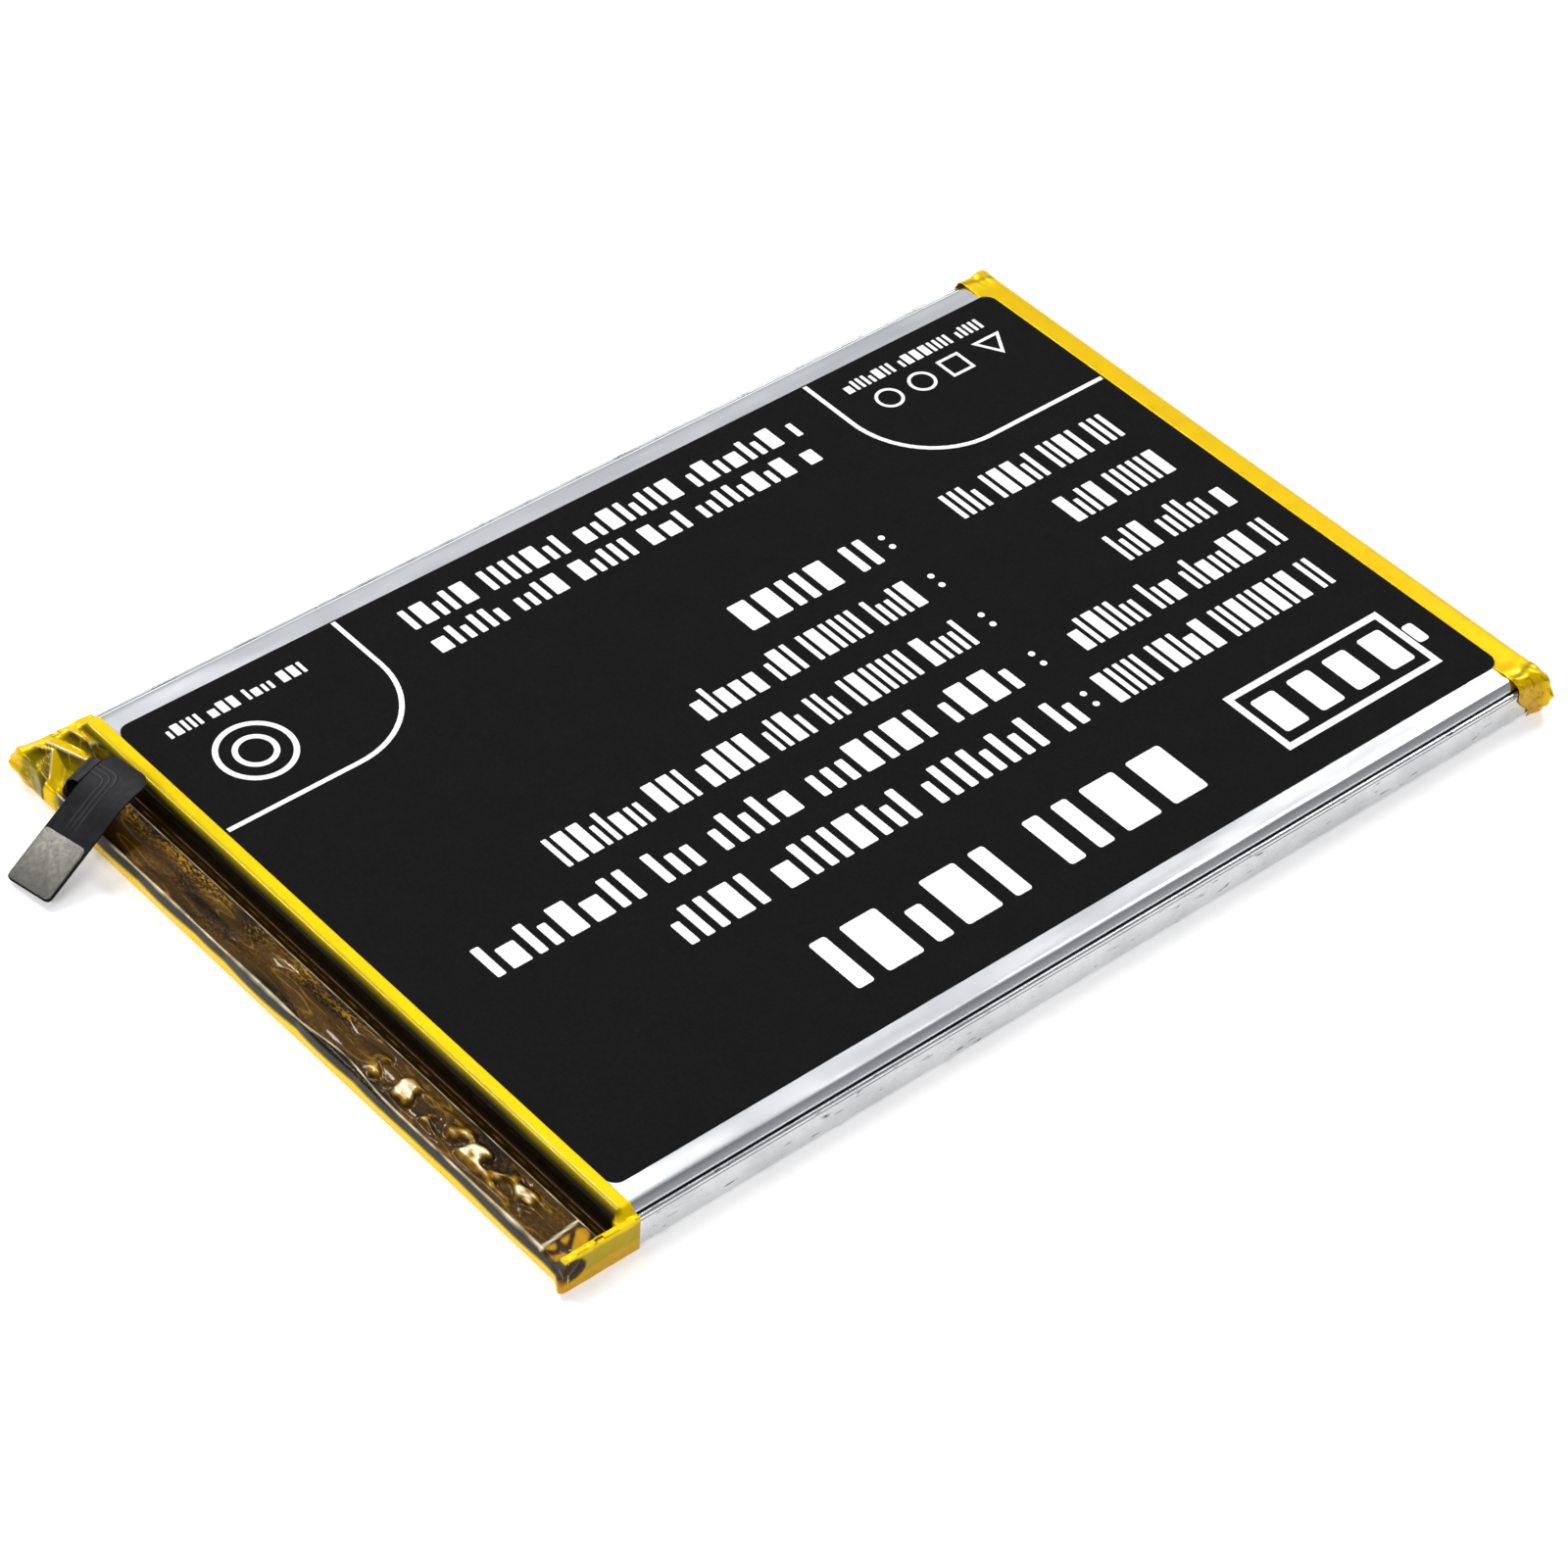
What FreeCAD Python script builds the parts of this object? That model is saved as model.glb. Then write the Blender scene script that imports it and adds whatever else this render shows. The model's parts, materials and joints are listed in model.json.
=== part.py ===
"""Pouch battery cell with its protection board and flex tail: the whole pack, piece by piece.

The pack lies on its back: +Z is up through the label, +Y runs along the pack away from the terrace,
and the origin is the centre of the back face. All sizes are in millimetres.
"""

import FreeCAD, Part
import Sketcher
import math
import os

Vector = FreeCAD.Vector
OUT_DIR = "parts"
SHEET = "Sizes"

SIZES = {
    # pouch
    "cell_length": 102.1,
    "pouch_width": 66.8,
    "cell_height": 3.8,
    "terrace_depth": 5.05,
    "film": 0.12,
    "corner_radius": 1.5,
    "shoulder_radius": 0.9,
    "flange_depth": 4.6,
    "flange_thickness": 0.24,
    # side seals, folded up and then in on themselves
    "seal_leg": 0.22,
    "seal_slit": 0.02,
    "seal_gap": 0.04,
    "seal_height": 3.2,
    "seal_turn": 0.42,
    "seal_foot": 0.9,
    "seal_end_gap": 0.09,
    # end tapes and label
    "tape": 0.06,
    "tape_slack": 0.02,
    "tape_side_reach": 0.9,
    "valley_height": 1.6,
    "valley_radius": 0.3,
    "ridge_radius": 0.2,
    "outer_radius": 0.25,
    "under_radius": 0.15,
    "label_width": 61.6,
    "label_length": 92.7,
    "label_thickness": 0.1,
    "label_setback": 1.75,
    "label_radius": 1.1,
    "label_gap": 0.05,
    # wound electrode roll
    "anode_coat": 0.13,
    "cathode_coat": 0.11,
    "separator": 0.035,
    "layer_gap": 0.007,
    "roll_turns": 4,
    "roll_core": 0.12,
    "roll_reach": 31.3,
    "roll_floor_gap": 0.03,
    "roll_front_gap": 0.68,
    "roll_back_gap": 0.9,
    "electrode_step": 0.5,
    "roll_tape_length": 60,
    "roll_tape_width": 20,
    # electrode tabs
    "tab_width": 4.5,
    "tab_thickness": 0.08,
    "tab_rise": 0.16,
    "tab_return": 2.3,
    "tab_bend": 0.06,
    "negative_place": 4,
    "positive_place": 18,
    "sealant_margin": 1.0,
    "sealant_height": 0.16,
    "sealant_length": 3.4,
    # protection board
    "pad_thickness": 0.45,
    "board_length": 58.6,
    "board_width": 3.0,
    "board_thickness": 0.5,
    "board_left": -28.3,
    "board_setback": 1.5,
    "board_corner": 0.3,
    "nickel_long": 5.5,
    "nickel_wide": 2.6,
    "nickel_tall": 0.15,
    "cover_thickness": 0.06,
    "cover_left": -24.5,
    "cover_length": 54.9,
    "cover_margin": 0.25,
    # parts soldered to the board
    "mosfet_long": 3.0,
    "mosfet_wide": 2.2,
    "mosfet_tall": 0.65,
    "chip_long": 1.6,
    "chip_wide": 1.6,
    "chip_tall": 0.5,
    "resistor_long": 1.0,
    "resistor_wide": 0.5,
    "resistor_tall": 0.35,
    "capacitor_long": 0.8,
    "capacitor_wide": 1.0,
    "capacitor_tall": 0.5,
    "fuse_long": 2.0,
    "fuse_wide": 1.3,
    "fuse_tall": 0.55,
    "thermistor_long": 1.0,
    "thermistor_wide": 0.6,
    "thermistor_tall": 0.4,
    # flex tail: its fold, its arm and its straight end
    "flex_left": -27.45,
    "flex_back": -46.88,
    "flex_rest": 5.12,
    "flex_yaw": 7.8,
    "flex_rise": 5,
    "flex_thickness": 0.12,
    "flex_width": 4.93,
    "flex_gap": 0.16,
    "fold_near": 0.95,
    "fold_far": 3.4,
    "root_length": 2.1,
    "droop": 27.3,
    "droop_radius": 9.56,
    "bend_place": 5.0,
    "tail_length": 7.76,
    "tail_corner": 0.5,
    "plate_long": 4.9,
    "plate_wide": 4.65,
    "plate_thick": 0.18,
    "plate_radius": 0.45,
    "plate_rim": 0.14,
    # connector under the tail's end
    "socket_long": 3.6,
    "socket_wide": 2.0,
    "socket_tall": 0.65,
    "socket_wall": 0.45,
    "socket_depth": 0.4,
    "socket_key": 0.4,
    "contact_long": 0.2,
    "contact_wide": 0.22,
    "contact_tall": 0.25,
    "contact_pitch": 0.5,
    "contacts_per_row": 4,
    "blade_long": 0.25,
    "blade_wide": 1.4,
    "blade_tall": 0.45,
    "solder_long": 0.3,
    "solder_wide": 0.45,
    "solder_tall": 0.09,
    "solder_joints": 4,
    # the opening in the tape that the flex comes up through
    "window_left": -29.6,
    "window_right": -26.4,
    # how far a cutting shape runs past what it cuts
    "cutter_margin": 1.0,
}

# Places along the board of each kind of soldered part, from the pack's middle.
BOARD_PARTS = {
    "pcm_mosfets": ("mosfet", (-14.0, -9.6)),
    "pcm_control_chips": ("chip", (-18.6, -5.4)),
    "pcm_resistors": ("resistor", (-21.4, -16.6, -1.6, 9.2, 13.4, 22.8)),
    "pcm_capacitors": ("capacitor", (-20.2, -7.3, -3.6, 0.0, 21.8)),
    "pcm_fuse": ("fuse", (11.2,)),
    "pcm_thermistor": ("thermistor", (27.0,)),
}

# Places that several sub-parts share, each a sum of driving dimensions times a factor.
PLACES = {
    "wall": {"terrace_depth": 1, "cell_length": -0.5},
    "back_wall": {"cell_length": 0.5, "tape": -1},
    "rear_margin": {
        "cell_length": 1,
        "tape": -1,
        "terrace_depth": -1,
        "label_setback": -1,
        "label_length": -1,
    },
    "cup_length": {"cell_length": 1, "terrace_depth": -1, "tape": -1},
    "seal_reach": {"pouch_width": 0.5, "seal_gap": 1, "seal_leg": 2, "seal_slit": 1},
    "board_floor": {"film": 1, "flange_thickness": 1, "pad_thickness": 1},
    "board_top": {"film": 1, "flange_thickness": 1, "pad_thickness": 1, "board_thickness": 1},
    "board_middle": {"terrace_depth": 1, "cell_length": -0.5, "board_setback": -1, "board_width": -0.5},
    "cover_floor": {
        "film": 1,
        "flange_thickness": 1,
        "pad_thickness": 1,
        "board_thickness": 1,
        "mosfet_tall": 1,
    },
    "label_edge": {"terrace_depth": 1, "cell_length": -0.5, "label_setback": 1},
}

doc = FreeCAD.newDocument("pouch_battery_pack")
sheet = doc.addObject("Spreadsheet::Sheet", SHEET)
for row, (alias, number) in enumerate(SIZES.items(), start=1):
    sheet.set(f"A{row}", alias)
    sheet.set(f"B{row}", str(number))
    sheet.setAlias(f"B{row}", alias)
doc.recompute()

parts = []


def size(name):
    """A driving dimension or a shared place, in millimetres or degrees."""
    if name in PLACES:
        return sum(factor * size(alias) for alias, factor in PLACES[name].items())
    return float(sheet.get(name))


def cell(word):
    """A word of a formula as the spreadsheet's expression, if it names a dimension or a place."""
    if word in SIZES:
        return f"{SHEET}.{word}"
    if word in PLACES:
        terms = [f"{factor} * {SHEET}.{alias}" for alias, factor in PLACES[word].items()]
        return f"({' + '.join(terms)})"
    return word


def expr(text):
    """A formula with each name in it turned into its expression over the spreadsheet."""
    words = []
    word = ""
    for letter in text + " ":
        if letter.isalnum() or letter == "_":
            word += letter
            continue
        words.append(cell(word))
        words.append(letter)
        word = ""
    return "".join(words).strip()


def bind(thing, **formulas):
    """Bind properties to formulas over the sheet; x, y and z mean the placement's base."""
    for name, formula in formulas.items():
        path = f"Placement.Base.{name}" if name in ("x", "y", "z") else name
        thing.setExpression(path, expr(formula))
    return thing


def keep(thing, label):
    """Name a finished sub-part; its label becomes its file's name."""
    thing.Label = label
    parts.append(thing)
    return thing


# ---------------------------------------------------------------- drawing helpers


def new_body(label):
    return keep(doc.addObject("PartDesign::Body", label), label)


def plane_of(body, role):
    return next(f for f in body.Origin.OriginFeatures if f.Role == role)


def rectangle(body, name, width, length, x="0", y="0", z="0"):
    """A sketch parallel to the body's XY plane: a rectangle width by length, centred on (x, y)."""
    sketch = body.newObject("Sketcher::SketchObject", name)
    sketch.AttachmentSupport = [(plane_of(body, "XY_Plane"), "")]
    sketch.MapMode = "FlatFace"
    for axis, formula in (("x", x), ("y", y), ("z", z)):
        sketch.setExpression(f"AttachmentOffset.Base.{axis}", expr(formula))
    corners = [Vector(-1, -1, 0), Vector(1, -1, 0), Vector(1, 1, 0), Vector(-1, 1, 0)]
    for here, there in zip(corners, corners[1:] + corners[:1]):
        sketch.addGeometry(Part.LineSegment(here, there), False)
    for side in range(4):
        sketch.addConstraint(Sketcher.Constraint("Coincident", side, 2, (side + 1) % 4, 1))
    for side, way in ((0, "Horizontal"), (2, "Horizontal"), (1, "Vertical"), (3, "Vertical")):
        sketch.addConstraint(Sketcher.Constraint(way, side))
    sketch.addConstraint(Sketcher.Constraint("Symmetric", 0, 1, 1, 2, -1, 1))
    across = sketch.addConstraint(Sketcher.Constraint("DistanceX", 0, 1, 0, 2, 2.0))
    along = sketch.addConstraint(Sketcher.Constraint("DistanceY", 1, 1, 1, 2, 2.0))
    sketch.setExpression(f"Constraints[{across}]", expr(width))
    sketch.setExpression(f"Constraints[{along}]", expr(length))
    return sketch


def pad(body, name, sketch, length):
    feature = body.newObject("PartDesign::Pad", name)
    feature.Profile = sketch
    bind(feature, Length=length)
    doc.recompute()
    return feature


def pocket_up(body, name, sketch, depth):
    """Cut from the sketch's plane upwards, and make sure that it removed something."""
    before = body.Shape.Volume
    feature = body.newObject("PartDesign::Pocket", name)
    feature.Profile = sketch
    feature.Reversed = True
    bind(feature, Length=depth)
    doc.recompute()
    if not body.Shape.Volume < before:
        raise RuntimeError(f"{name} cuts nothing")
    return feature


def edge_names(shape, wanted):
    return [f"Edge{i}" for i, edge in enumerate(shape.Edges, start=1) if wanted(edge)]


def same(a, b):
    return abs(a - b) < 1e-6


def upright(edge):
    """Whether an edge is a straight vertical line."""
    ends = [vertex.Point for vertex in edge.Vertexes]
    return len(ends) == 2 and same(ends[0].x, ends[1].x) and same(ends[0].y, ends[1].y)


def round_edges(body, name, radius, wanted):
    tip = body.Tip
    feature = body.newObject("PartDesign::Fillet", name)
    feature.Base = (tip, edge_names(tip.Shape, wanted))
    bind(feature, Radius=radius)
    doc.recompute()
    return feature


def hollow(body, name, thickness, opening):
    """Turn the body's solid into a shell inside its own faces, open at the face that is named."""
    tip = body.Tip
    faces = tip.Shape.Faces
    index = min(range(len(faces)), key=lambda i: opening(faces[i].CenterOfMass))
    shell = body.newObject("PartDesign::Thickness", name)
    shell.Base = (tip, [f"Face{index + 1}"])
    shell.Reversed = True
    bind(shell, Value=thickness)
    doc.recompute()
    return shell


def block(name, length, width, height, x, y, z):
    """A box bound to the sheet, with its low corner at (x, y, z)."""
    box = doc.addObject("Part::Box", name)
    return bind(box, Length=length, Width=width, Height=height, x=x, y=y, z=z)


def feature_part(label, shape, placement=None):
    """A sub-part whose shape comes from Part's own functions, placed after its shape is set."""
    thing = keep(doc.addObject("Part::Feature", label), label)
    thing.Shape = shape
    if placement:
        thing.Placement = placement
    return thing


def centred_box(across, out, low, sizes):
    """A box centred on (across, -out) in its frame's plane, rising from the height low."""
    return Part.makeBox(*sizes, Vector(across - sizes[0] / 2, -out - sizes[1] / 2, low))


# ---------------------------------------------------------------- thin sheets along a bent route


def direction(start, end):
    run = math.hypot(end[0] - start[0], end[1] - start[1])
    return ((end[0] - start[0]) / run, (end[1] - start[1]) / run)


def offset_route(points, radii, shift):
    """A route of (u, v) points moved to its left by shift, with its bend radii changed to match."""
    moved = []
    bends = []
    last = len(points) - 1
    for i, (u, v) in enumerate(points):
        before = direction(points[max(i - 1, 0)], points[max(i, 1)])
        after = direction(points[min(i, last - 1)], points[min(i + 1, last)])
        normal = ((-before[1] - after[1]) / 2, (before[0] + after[0]) / 2)
        stretch = shift / (normal[0] ** 2 + normal[1] ** 2)
        moved.append((u + normal[0] * stretch, v + normal[1] * stretch))
        turn = before[0] * after[1] - before[1] * after[0]
        bends.append(max(radii[i] - math.copysign(shift, turn), 0.0) if radii[i] else 0.0)
    return moved, bends


def route_edges(points, radii, at):
    """Straight edges and tangent arcs along a route; at turns (u, v) into a place."""
    edges = []
    here = points[0]
    for i in range(1, len(points) - 1):
        before = direction(points[i - 1], points[i])
        after = direction(points[i], points[i + 1])
        cosine = before[0] * after[0] + before[1] * after[1]
        half = math.acos(max(-1.0, min(1.0, cosine))) / 2
        if not radii[i]:
            edges.append(Part.LineSegment(at(*here), at(*points[i])))
            here = points[i]
            continue
        reach = radii[i] * math.tan(half)
        start = (points[i][0] - before[0] * reach, points[i][1] - before[1] * reach)
        end = (points[i][0] + after[0] * reach, points[i][1] + after[1] * reach)
        inward = direction((0.0, 0.0), (after[0] - before[0], after[1] - before[1]))
        depth = radii[i] / math.cos(half) - radii[i]
        middle = (points[i][0] + inward[0] * depth, points[i][1] + inward[1] * depth)
        edges.append(Part.LineSegment(at(*here), at(*start)))
        edges.append(Part.Arc(at(*start), at(*middle), at(*end)))
        here = end
    edges.append(Part.LineSegment(at(*here), at(*points[-1])))
    return edges


def strip_face(points, radii, thickness, at):
    """The face of a strip of even thickness that follows a route along its middle."""
    left = offset_route(points, radii, thickness / 2)
    right = offset_route(points, radii, -thickness / 2)
    edges = route_edges(*left, at) + route_edges(*right, at)
    for end in (0, -1):
        edges.append(Part.LineSegment(at(*left[0][end]), at(*right[0][end])))
    wire = Part.Wire(Part.__sortEdges__([edge.toShape() for edge in edges]))
    return Part.Face(wire)


def strip_across(points, radii, thickness, x_low, x_high):
    """A strip along a (y, z) route, as wide as x_low to x_high."""
    face = strip_face(points, radii, thickness, lambda y, z: Vector(x_low, y, z))
    return face.extrude(Vector(x_high - x_low, 0, 0))


# ---------------------------------------------------------------- pouch


def make_cup():
    """The deep-drawn half of the pouch: top, walls and the sealed flange over the terrace."""
    body = new_body("pouch_cup")
    bind(body, y="(terrace_depth - tape) / 2", z="film")
    outline = rectangle(body, "cup_outline", "pouch_width", "cup_length")
    pad(body, "cup_block", outline, "cell_height - film")
    round_edges(body, "cup_corners", "corner_radius", upright)
    top = size("cell_height") - size("film")
    round_edges(
        body,
        "cup_shoulder",
        "shoulder_radius",
        lambda edge: all(same(vertex.Point.z, top) for vertex in edge.Vertexes),
    )
    hollow(body, "cup_shell", "film", lambda centre: centre.z)
    flange = rectangle(
        body,
        "flange_outline",
        "pouch_width",
        "flange_depth + film",
        y="-cup_length / 2 - (flange_depth - film) / 2",
    )
    pad(body, "flange", flange, "flange_thickness")
    for place in ("negative_place", "positive_place"):
        channel = rectangle(
            body,
            f"{place}_channel",
            "tab_width + 2 * sealant_margin",
            "flange_depth + 4 * film",
            x=place,
            y="-cup_length / 2 - (flange_depth - 4 * film) / 2",
        )
        pocket_up(body, f"{place}_pocket", channel, "sealant_height")
    return body


def make_lid():
    """The flat half of the pouch, stepped in where the end tapes lie flush with it."""
    body = new_body("pouch_lid")
    outline = rectangle(
        body,
        "lid_outline",
        "pouch_width",
        "cup_length + flange_depth",
        y="(back_wall + wall - flange_depth) / 2",
    )
    pad(body, "lid_sheet", outline, "film")
    seats = (
        ("front", "flange_depth + label_setback", "wall + (label_setback - flange_depth) / 2"),
        ("rear", "tape_side_reach + rear_margin", "back_wall - (tape_side_reach + rear_margin) / 2"),
    )
    for name, depth, middle in seats:
        seat = rectangle(body, f"{name}_seat_outline", "pouch_width + cutter_margin", depth, y=middle)
        pocket_up(body, f"{name}_tape_seat", seat, "tape")
    rear = size("back_wall")
    side = size("pouch_width") / 2

    def rear_corner(edge):
        point = edge.Vertexes[0].Point
        return upright(edge) and same(abs(point.x), side) and same(point.y, rear)

    round_edges(body, "lid_corners", "corner_radius", rear_corner)
    return body


def make_side_seal(label, side):
    """A side seal: the joined films turn up beside the wall and fold in on themselves at the top."""
    wall = size("pouch_width") / 2
    leg = size("seal_leg")
    turn = size("seal_turn")
    floor = size("tape")
    inner = wall + size("seal_gap")
    slit = inner + leg
    outer = size("seal_reach")
    middle = slit + size("seal_slit") / 2
    fold = (outer - inner) / 2
    crown = size("seal_height") - fold
    foot = size("seal_foot")
    low = floor + turn

    def at(x, z):
        return Vector(side * x, 0, z)

    def line(*ends):
        return Part.LineSegment(at(*ends[:2]), at(*ends[2:]))

    def arc(centre_x, centre_z, radius, *degrees):
        points = []
        for angle in degrees:
            turn = math.radians(angle)
            points.append(at(centre_x + radius * math.cos(turn), centre_z + radius * math.sin(turn)))
        return Part.Arc(*points)

    edges = [
        line(wall, floor, wall, floor + leg),
        line(wall, floor + leg, outer - turn, floor + leg),
        arc(outer - turn, low, turn - leg, -90, -45, 0),
        line(outer - leg, low, outer - leg, crown),
        arc(middle, crown, size("seal_slit") / 2, 0, 90, 180),
        line(slit, crown, slit, foot),
        line(slit, foot, inner, foot),
        line(inner, foot, inner, crown),
        arc(middle, crown, fold, 180, 90, 0),
        line(outer, crown, outer, low),
        arc(outer - turn, low, turn, 0, -45, -90),
        line(outer - turn, floor, wall, floor),
    ]
    wire = Part.Wire([edge.toShape() for edge in edges])
    end = size("back_wall") - size("seal_end_gap")
    solid = Part.Face(wire).extrude(Vector(0, 2 * end, 0))
    return feature_part(label, solid, FreeCAD.Placement(Vector(0, -end, 0), FreeCAD.Rotation()))


# ---------------------------------------------------------------- electrode roll


def roll_layers():
    """(label, inner offset in the winding, thickness, how far it stops short at each end), and the pitch."""
    step = size("electrode_step")
    layers = []
    offset = 0.0
    for label, alias, short in (
        ("anode_foil", "anode_coat", step),
        ("separator_inner", "separator", 0.0),
        ("cathode_foil", "cathode_coat", 2 * step),
        ("separator_outer", "separator", 0.0),
    ):
        layers.append((label, offset, size(alias), short))
        offset += size(alias) + size("layer_gap")
    return layers, offset


def flat_spiral(start, pitch):
    """The edges of a flattened spiral: flats joined by half circles, growing by the pitch each turn."""
    reach = size("roll_reach")
    turns = int(size("roll_turns"))
    edges = []
    for turn in range(turns):
        top = start + turn * pitch
        bottom = top + pitch / 2
        rise = top + pitch
        edges.append(Part.LineSegment(Vector(-reach, 0, top), Vector(reach, 0, top)))
        right_end = Vector(reach + (top + bottom) / 2, 0, (top - bottom) / 2)
        edges.append(Part.Arc(Vector(reach, 0, top), right_end, Vector(reach, 0, -bottom)))
        edges.append(Part.LineSegment(Vector(reach, 0, -bottom), Vector(-reach, 0, -bottom)))
        left_end = Vector(-reach - (rise + bottom) / 2, 0, (rise - bottom) / 2)
        edges.append(Part.Arc(Vector(-reach, 0, -bottom), left_end, Vector(-reach, 0, rise)))
    last = start + turns * pitch
    edges.append(Part.LineSegment(Vector(-reach, 0, last), Vector(reach, 0, last)))
    return edges


def roll_centre_height():
    _, pitch = roll_layers()
    below = size("roll_core") + (size("roll_turns") + 0.5) * pitch - size("layer_gap")
    return size("film") + size("roll_floor_gap") + below


def roll_ends():
    front = size("wall") + size("film") + size("roll_front_gap")
    back = size("back_wall") - size("film") - size("roll_back_gap")
    return front, back


def make_roll():
    """The wound roll: coated anode and cathode foils and two separators."""
    layers, pitch = roll_layers()
    front, back = roll_ends()
    height = roll_centre_height()
    for label, offset, thickness, short in layers:
        inner = flat_spiral(size("roll_core") + offset, pitch)
        outer = flat_spiral(size("roll_core") + offset + thickness, pitch)
        caps = [
            Part.LineSegment(inner[0].StartPoint, outer[0].StartPoint),
            Part.LineSegment(inner[-1].EndPoint, outer[-1].EndPoint),
        ]
        wire = Part.Wire(Part.__sortEdges__([edge.toShape() for edge in inner + outer + caps]))
        solid = Part.Face(wire).extrude(Vector(0, back - front - 2 * short, 0))
        place = FreeCAD.Placement(Vector(0, front + short, height), FreeCAD.Rotation())
        feature_part(label, solid, place)


def make_roll_tape():
    """The short tape that holds the roll's outer end down."""
    _, pitch = roll_layers()
    top = roll_centre_height() + size("roll_core") + (size("roll_turns") + 1) * pitch
    width = size("roll_tape_width")
    length = size("roll_tape_length")
    low_corner = Vector(size("roll_reach") - width, -length / 2, top)
    feature_part("roll_tape", Part.makeBox(width, length, size("separator"), low_corner))


def make_tab(label, layer_label, place):
    """An electrode tab: out of the roll, down the wall, through the seal and back over the board."""
    layers, _ = roll_layers()
    _, offset, thickness, short = next(layer for layer in layers if layer[0] == layer_label)
    front, _ = roll_ends()
    inside = roll_centre_height() + size("roll_core") + offset + thickness / 2
    down = size("wall") + 2 * size("film") + size("tab_rise")
    seal = size("film") + size("sealant_height") / 2
    out = size("wall") - size("flange_depth") - size("tab_thickness") - size("tab_rise")
    top = size("board_top") + size("nickel_tall") + size("tab_thickness") / 2
    route = [
        (front + short, inside),
        (down, inside),
        (down, seal),
        (out, seal),
        (out, top),
        (out + size("tab_return"), top),
    ]
    bend = size("tab_bend")
    radii = [0.0, bend, bend, bend, bend, 0.0]
    half = size("tab_width") / 2
    feature_part(
        label,
        strip_across(route, radii, size("tab_thickness"), size(place) - half, size(place) + half),
    )


def make_sealant(label, place):
    """The film that seals a tab into the flange, with the tab's slot through it."""
    width = "(tab_width + 2 * sealant_margin)"
    low = "wall - flange_depth + (flange_depth - sealant_length) / 2"
    film = block(
        f"{label}_film", width, "sealant_length", "sealant_height", f"{place} - {width} / 2", low, "film"
    )
    slot = block(
        f"{label}_slot",
        "tab_width",
        "sealant_length + 2 * cutter_margin",
        "tab_thickness",
        f"{place} - tab_width / 2",
        f"{low} - cutter_margin",
        "film + (sealant_height - tab_thickness) / 2",
    )
    cut = doc.addObject("Part::Cut", label)
    cut.Base = film
    cut.Tool = slot
    return keep(cut, label)


# ---------------------------------------------------------------- protection board


def make_board():
    """The narrow protection board on the terrace, on its foam pad, with its nickel weld plates."""
    board_low = "board_middle - board_width / 2"
    keep(
        block(
            "terrace_pad",
            "board_length",
            "board_width",
            "pad_thickness",
            "board_left",
            board_low,
            "film + flange_thickness",
        ),
        "terrace_pad",
    )
    body = new_body("pcm_board")
    bind(body, x="board_left + board_length / 2", y="board_middle", z="board_floor")
    outline = rectangle(body, "board_outline", "board_length", "board_width")
    pad(body, "board_slab", outline, "board_thickness")
    round_edges(body, "board_corners", "board_corner", upright)
    for pole in ("negative", "positive"):
        make_on_board(f"nickel_plate_{pole}", "nickel", [f"{pole}_place"])


def make_on_board(label, kind, places):
    """Parts of one kind soldered on the board's middle line, in one node as separate solids."""
    boxes = [
        block(
            f"{label}_{i}",
            f"{kind}_long",
            f"{kind}_wide",
            f"{kind}_tall",
            f"{place} - {kind}_long / 2",
            f"board_middle - {kind}_wide / 2",
            "board_top",
        )
        for i, place in enumerate(places, start=1)
    ]
    if len(boxes) == 1:
        return keep(boxes[0], label)
    group = doc.addObject("Part::Compound", label)
    group.Links = boxes
    return keep(group, label)


def make_board_cover():
    """The insulating sheet that rests on the tallest parts of the board."""
    return keep(
        block(
            "pcm_cover_sheet",
            "cover_length",
            "board_width + 2 * cover_margin",
            "cover_thickness",
            "cover_left",
            "board_middle - board_width / 2 - cover_margin",
            "cover_floor",
        ),
        "pcm_cover_sheet",
    )


# ---------------------------------------------------------------- tapes and label


def make_terrace_tape():
    """The tape over the terrace end: top, wall, board, outer end and back, and round both side seals."""
    tape = size("tape")
    half = tape / 2
    wall = size("wall")
    end = -size("cell_length") / 2
    mouth = size("label_edge") - size("label_gap")
    top = size("cell_height") + half
    hump = size("cover_floor") + size("cover_thickness") + half
    ridge = size("board_middle") + size("board_width") / 2 + size("cover_margin") + half
    route = [
        (mouth, top),
        (wall - half, top),
        (wall - half, size("valley_height")),
        (ridge, hump),
        (end + half, hump),
        (end + half, half),
        (size("label_edge"), half),
    ]
    shoulder = size("shoulder_radius") + half
    bends = [size(name) for name in ("valley_radius", "ridge_radius", "outer_radius", "under_radius")]
    middle = size("pouch_width") / 2 - size("shoulder_radius") / 2
    solid = strip_across(route, [0.0, shoulder, *bends, 0.0], tape, -middle, middle)
    reach = size("seal_reach") + size("tape_slack")
    wraps = [side_wrap(side, middle, reach, end) for side in (-1, 1)]
    window_width = size("window_right") - size("window_left")
    through = size("cutter_margin")
    low_corner = Vector(size("window_left"), end + tape, hump - through / 2)
    window = Part.makeBox(window_width, ridge - end - tape, through, low_corner)
    feature_part("terrace_tape", solid.fuse(wraps).removeSplitter().cut(window))


def side_wrap(side, middle, reach, end):
    """The tape round one side seal: a closed corner over the terrace and a skin along the seal."""
    tape = size("tape")
    wall = size("wall")
    back = size("label_edge")
    top = size("seal_height") + tape

    def span(near, far, y_low, y_high, z_low, z_high):
        low = min(side * near, side * far)
        return Part.makeBox(far - near, y_high - y_low, z_high - z_low, Vector(low, y_low, z_low))

    corner = span(middle, reach + tape, end, wall - tape, 0, top)
    room = span(middle, reach, end + tape, wall, tape, top - tape)
    skin = span(reach, reach + tape, wall - tape, back, 0, top)
    under = span(middle, reach + tape, wall - tape, back, 0, tape)
    return corner.cut(room).fuse([skin, under]).removeSplitter()


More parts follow.
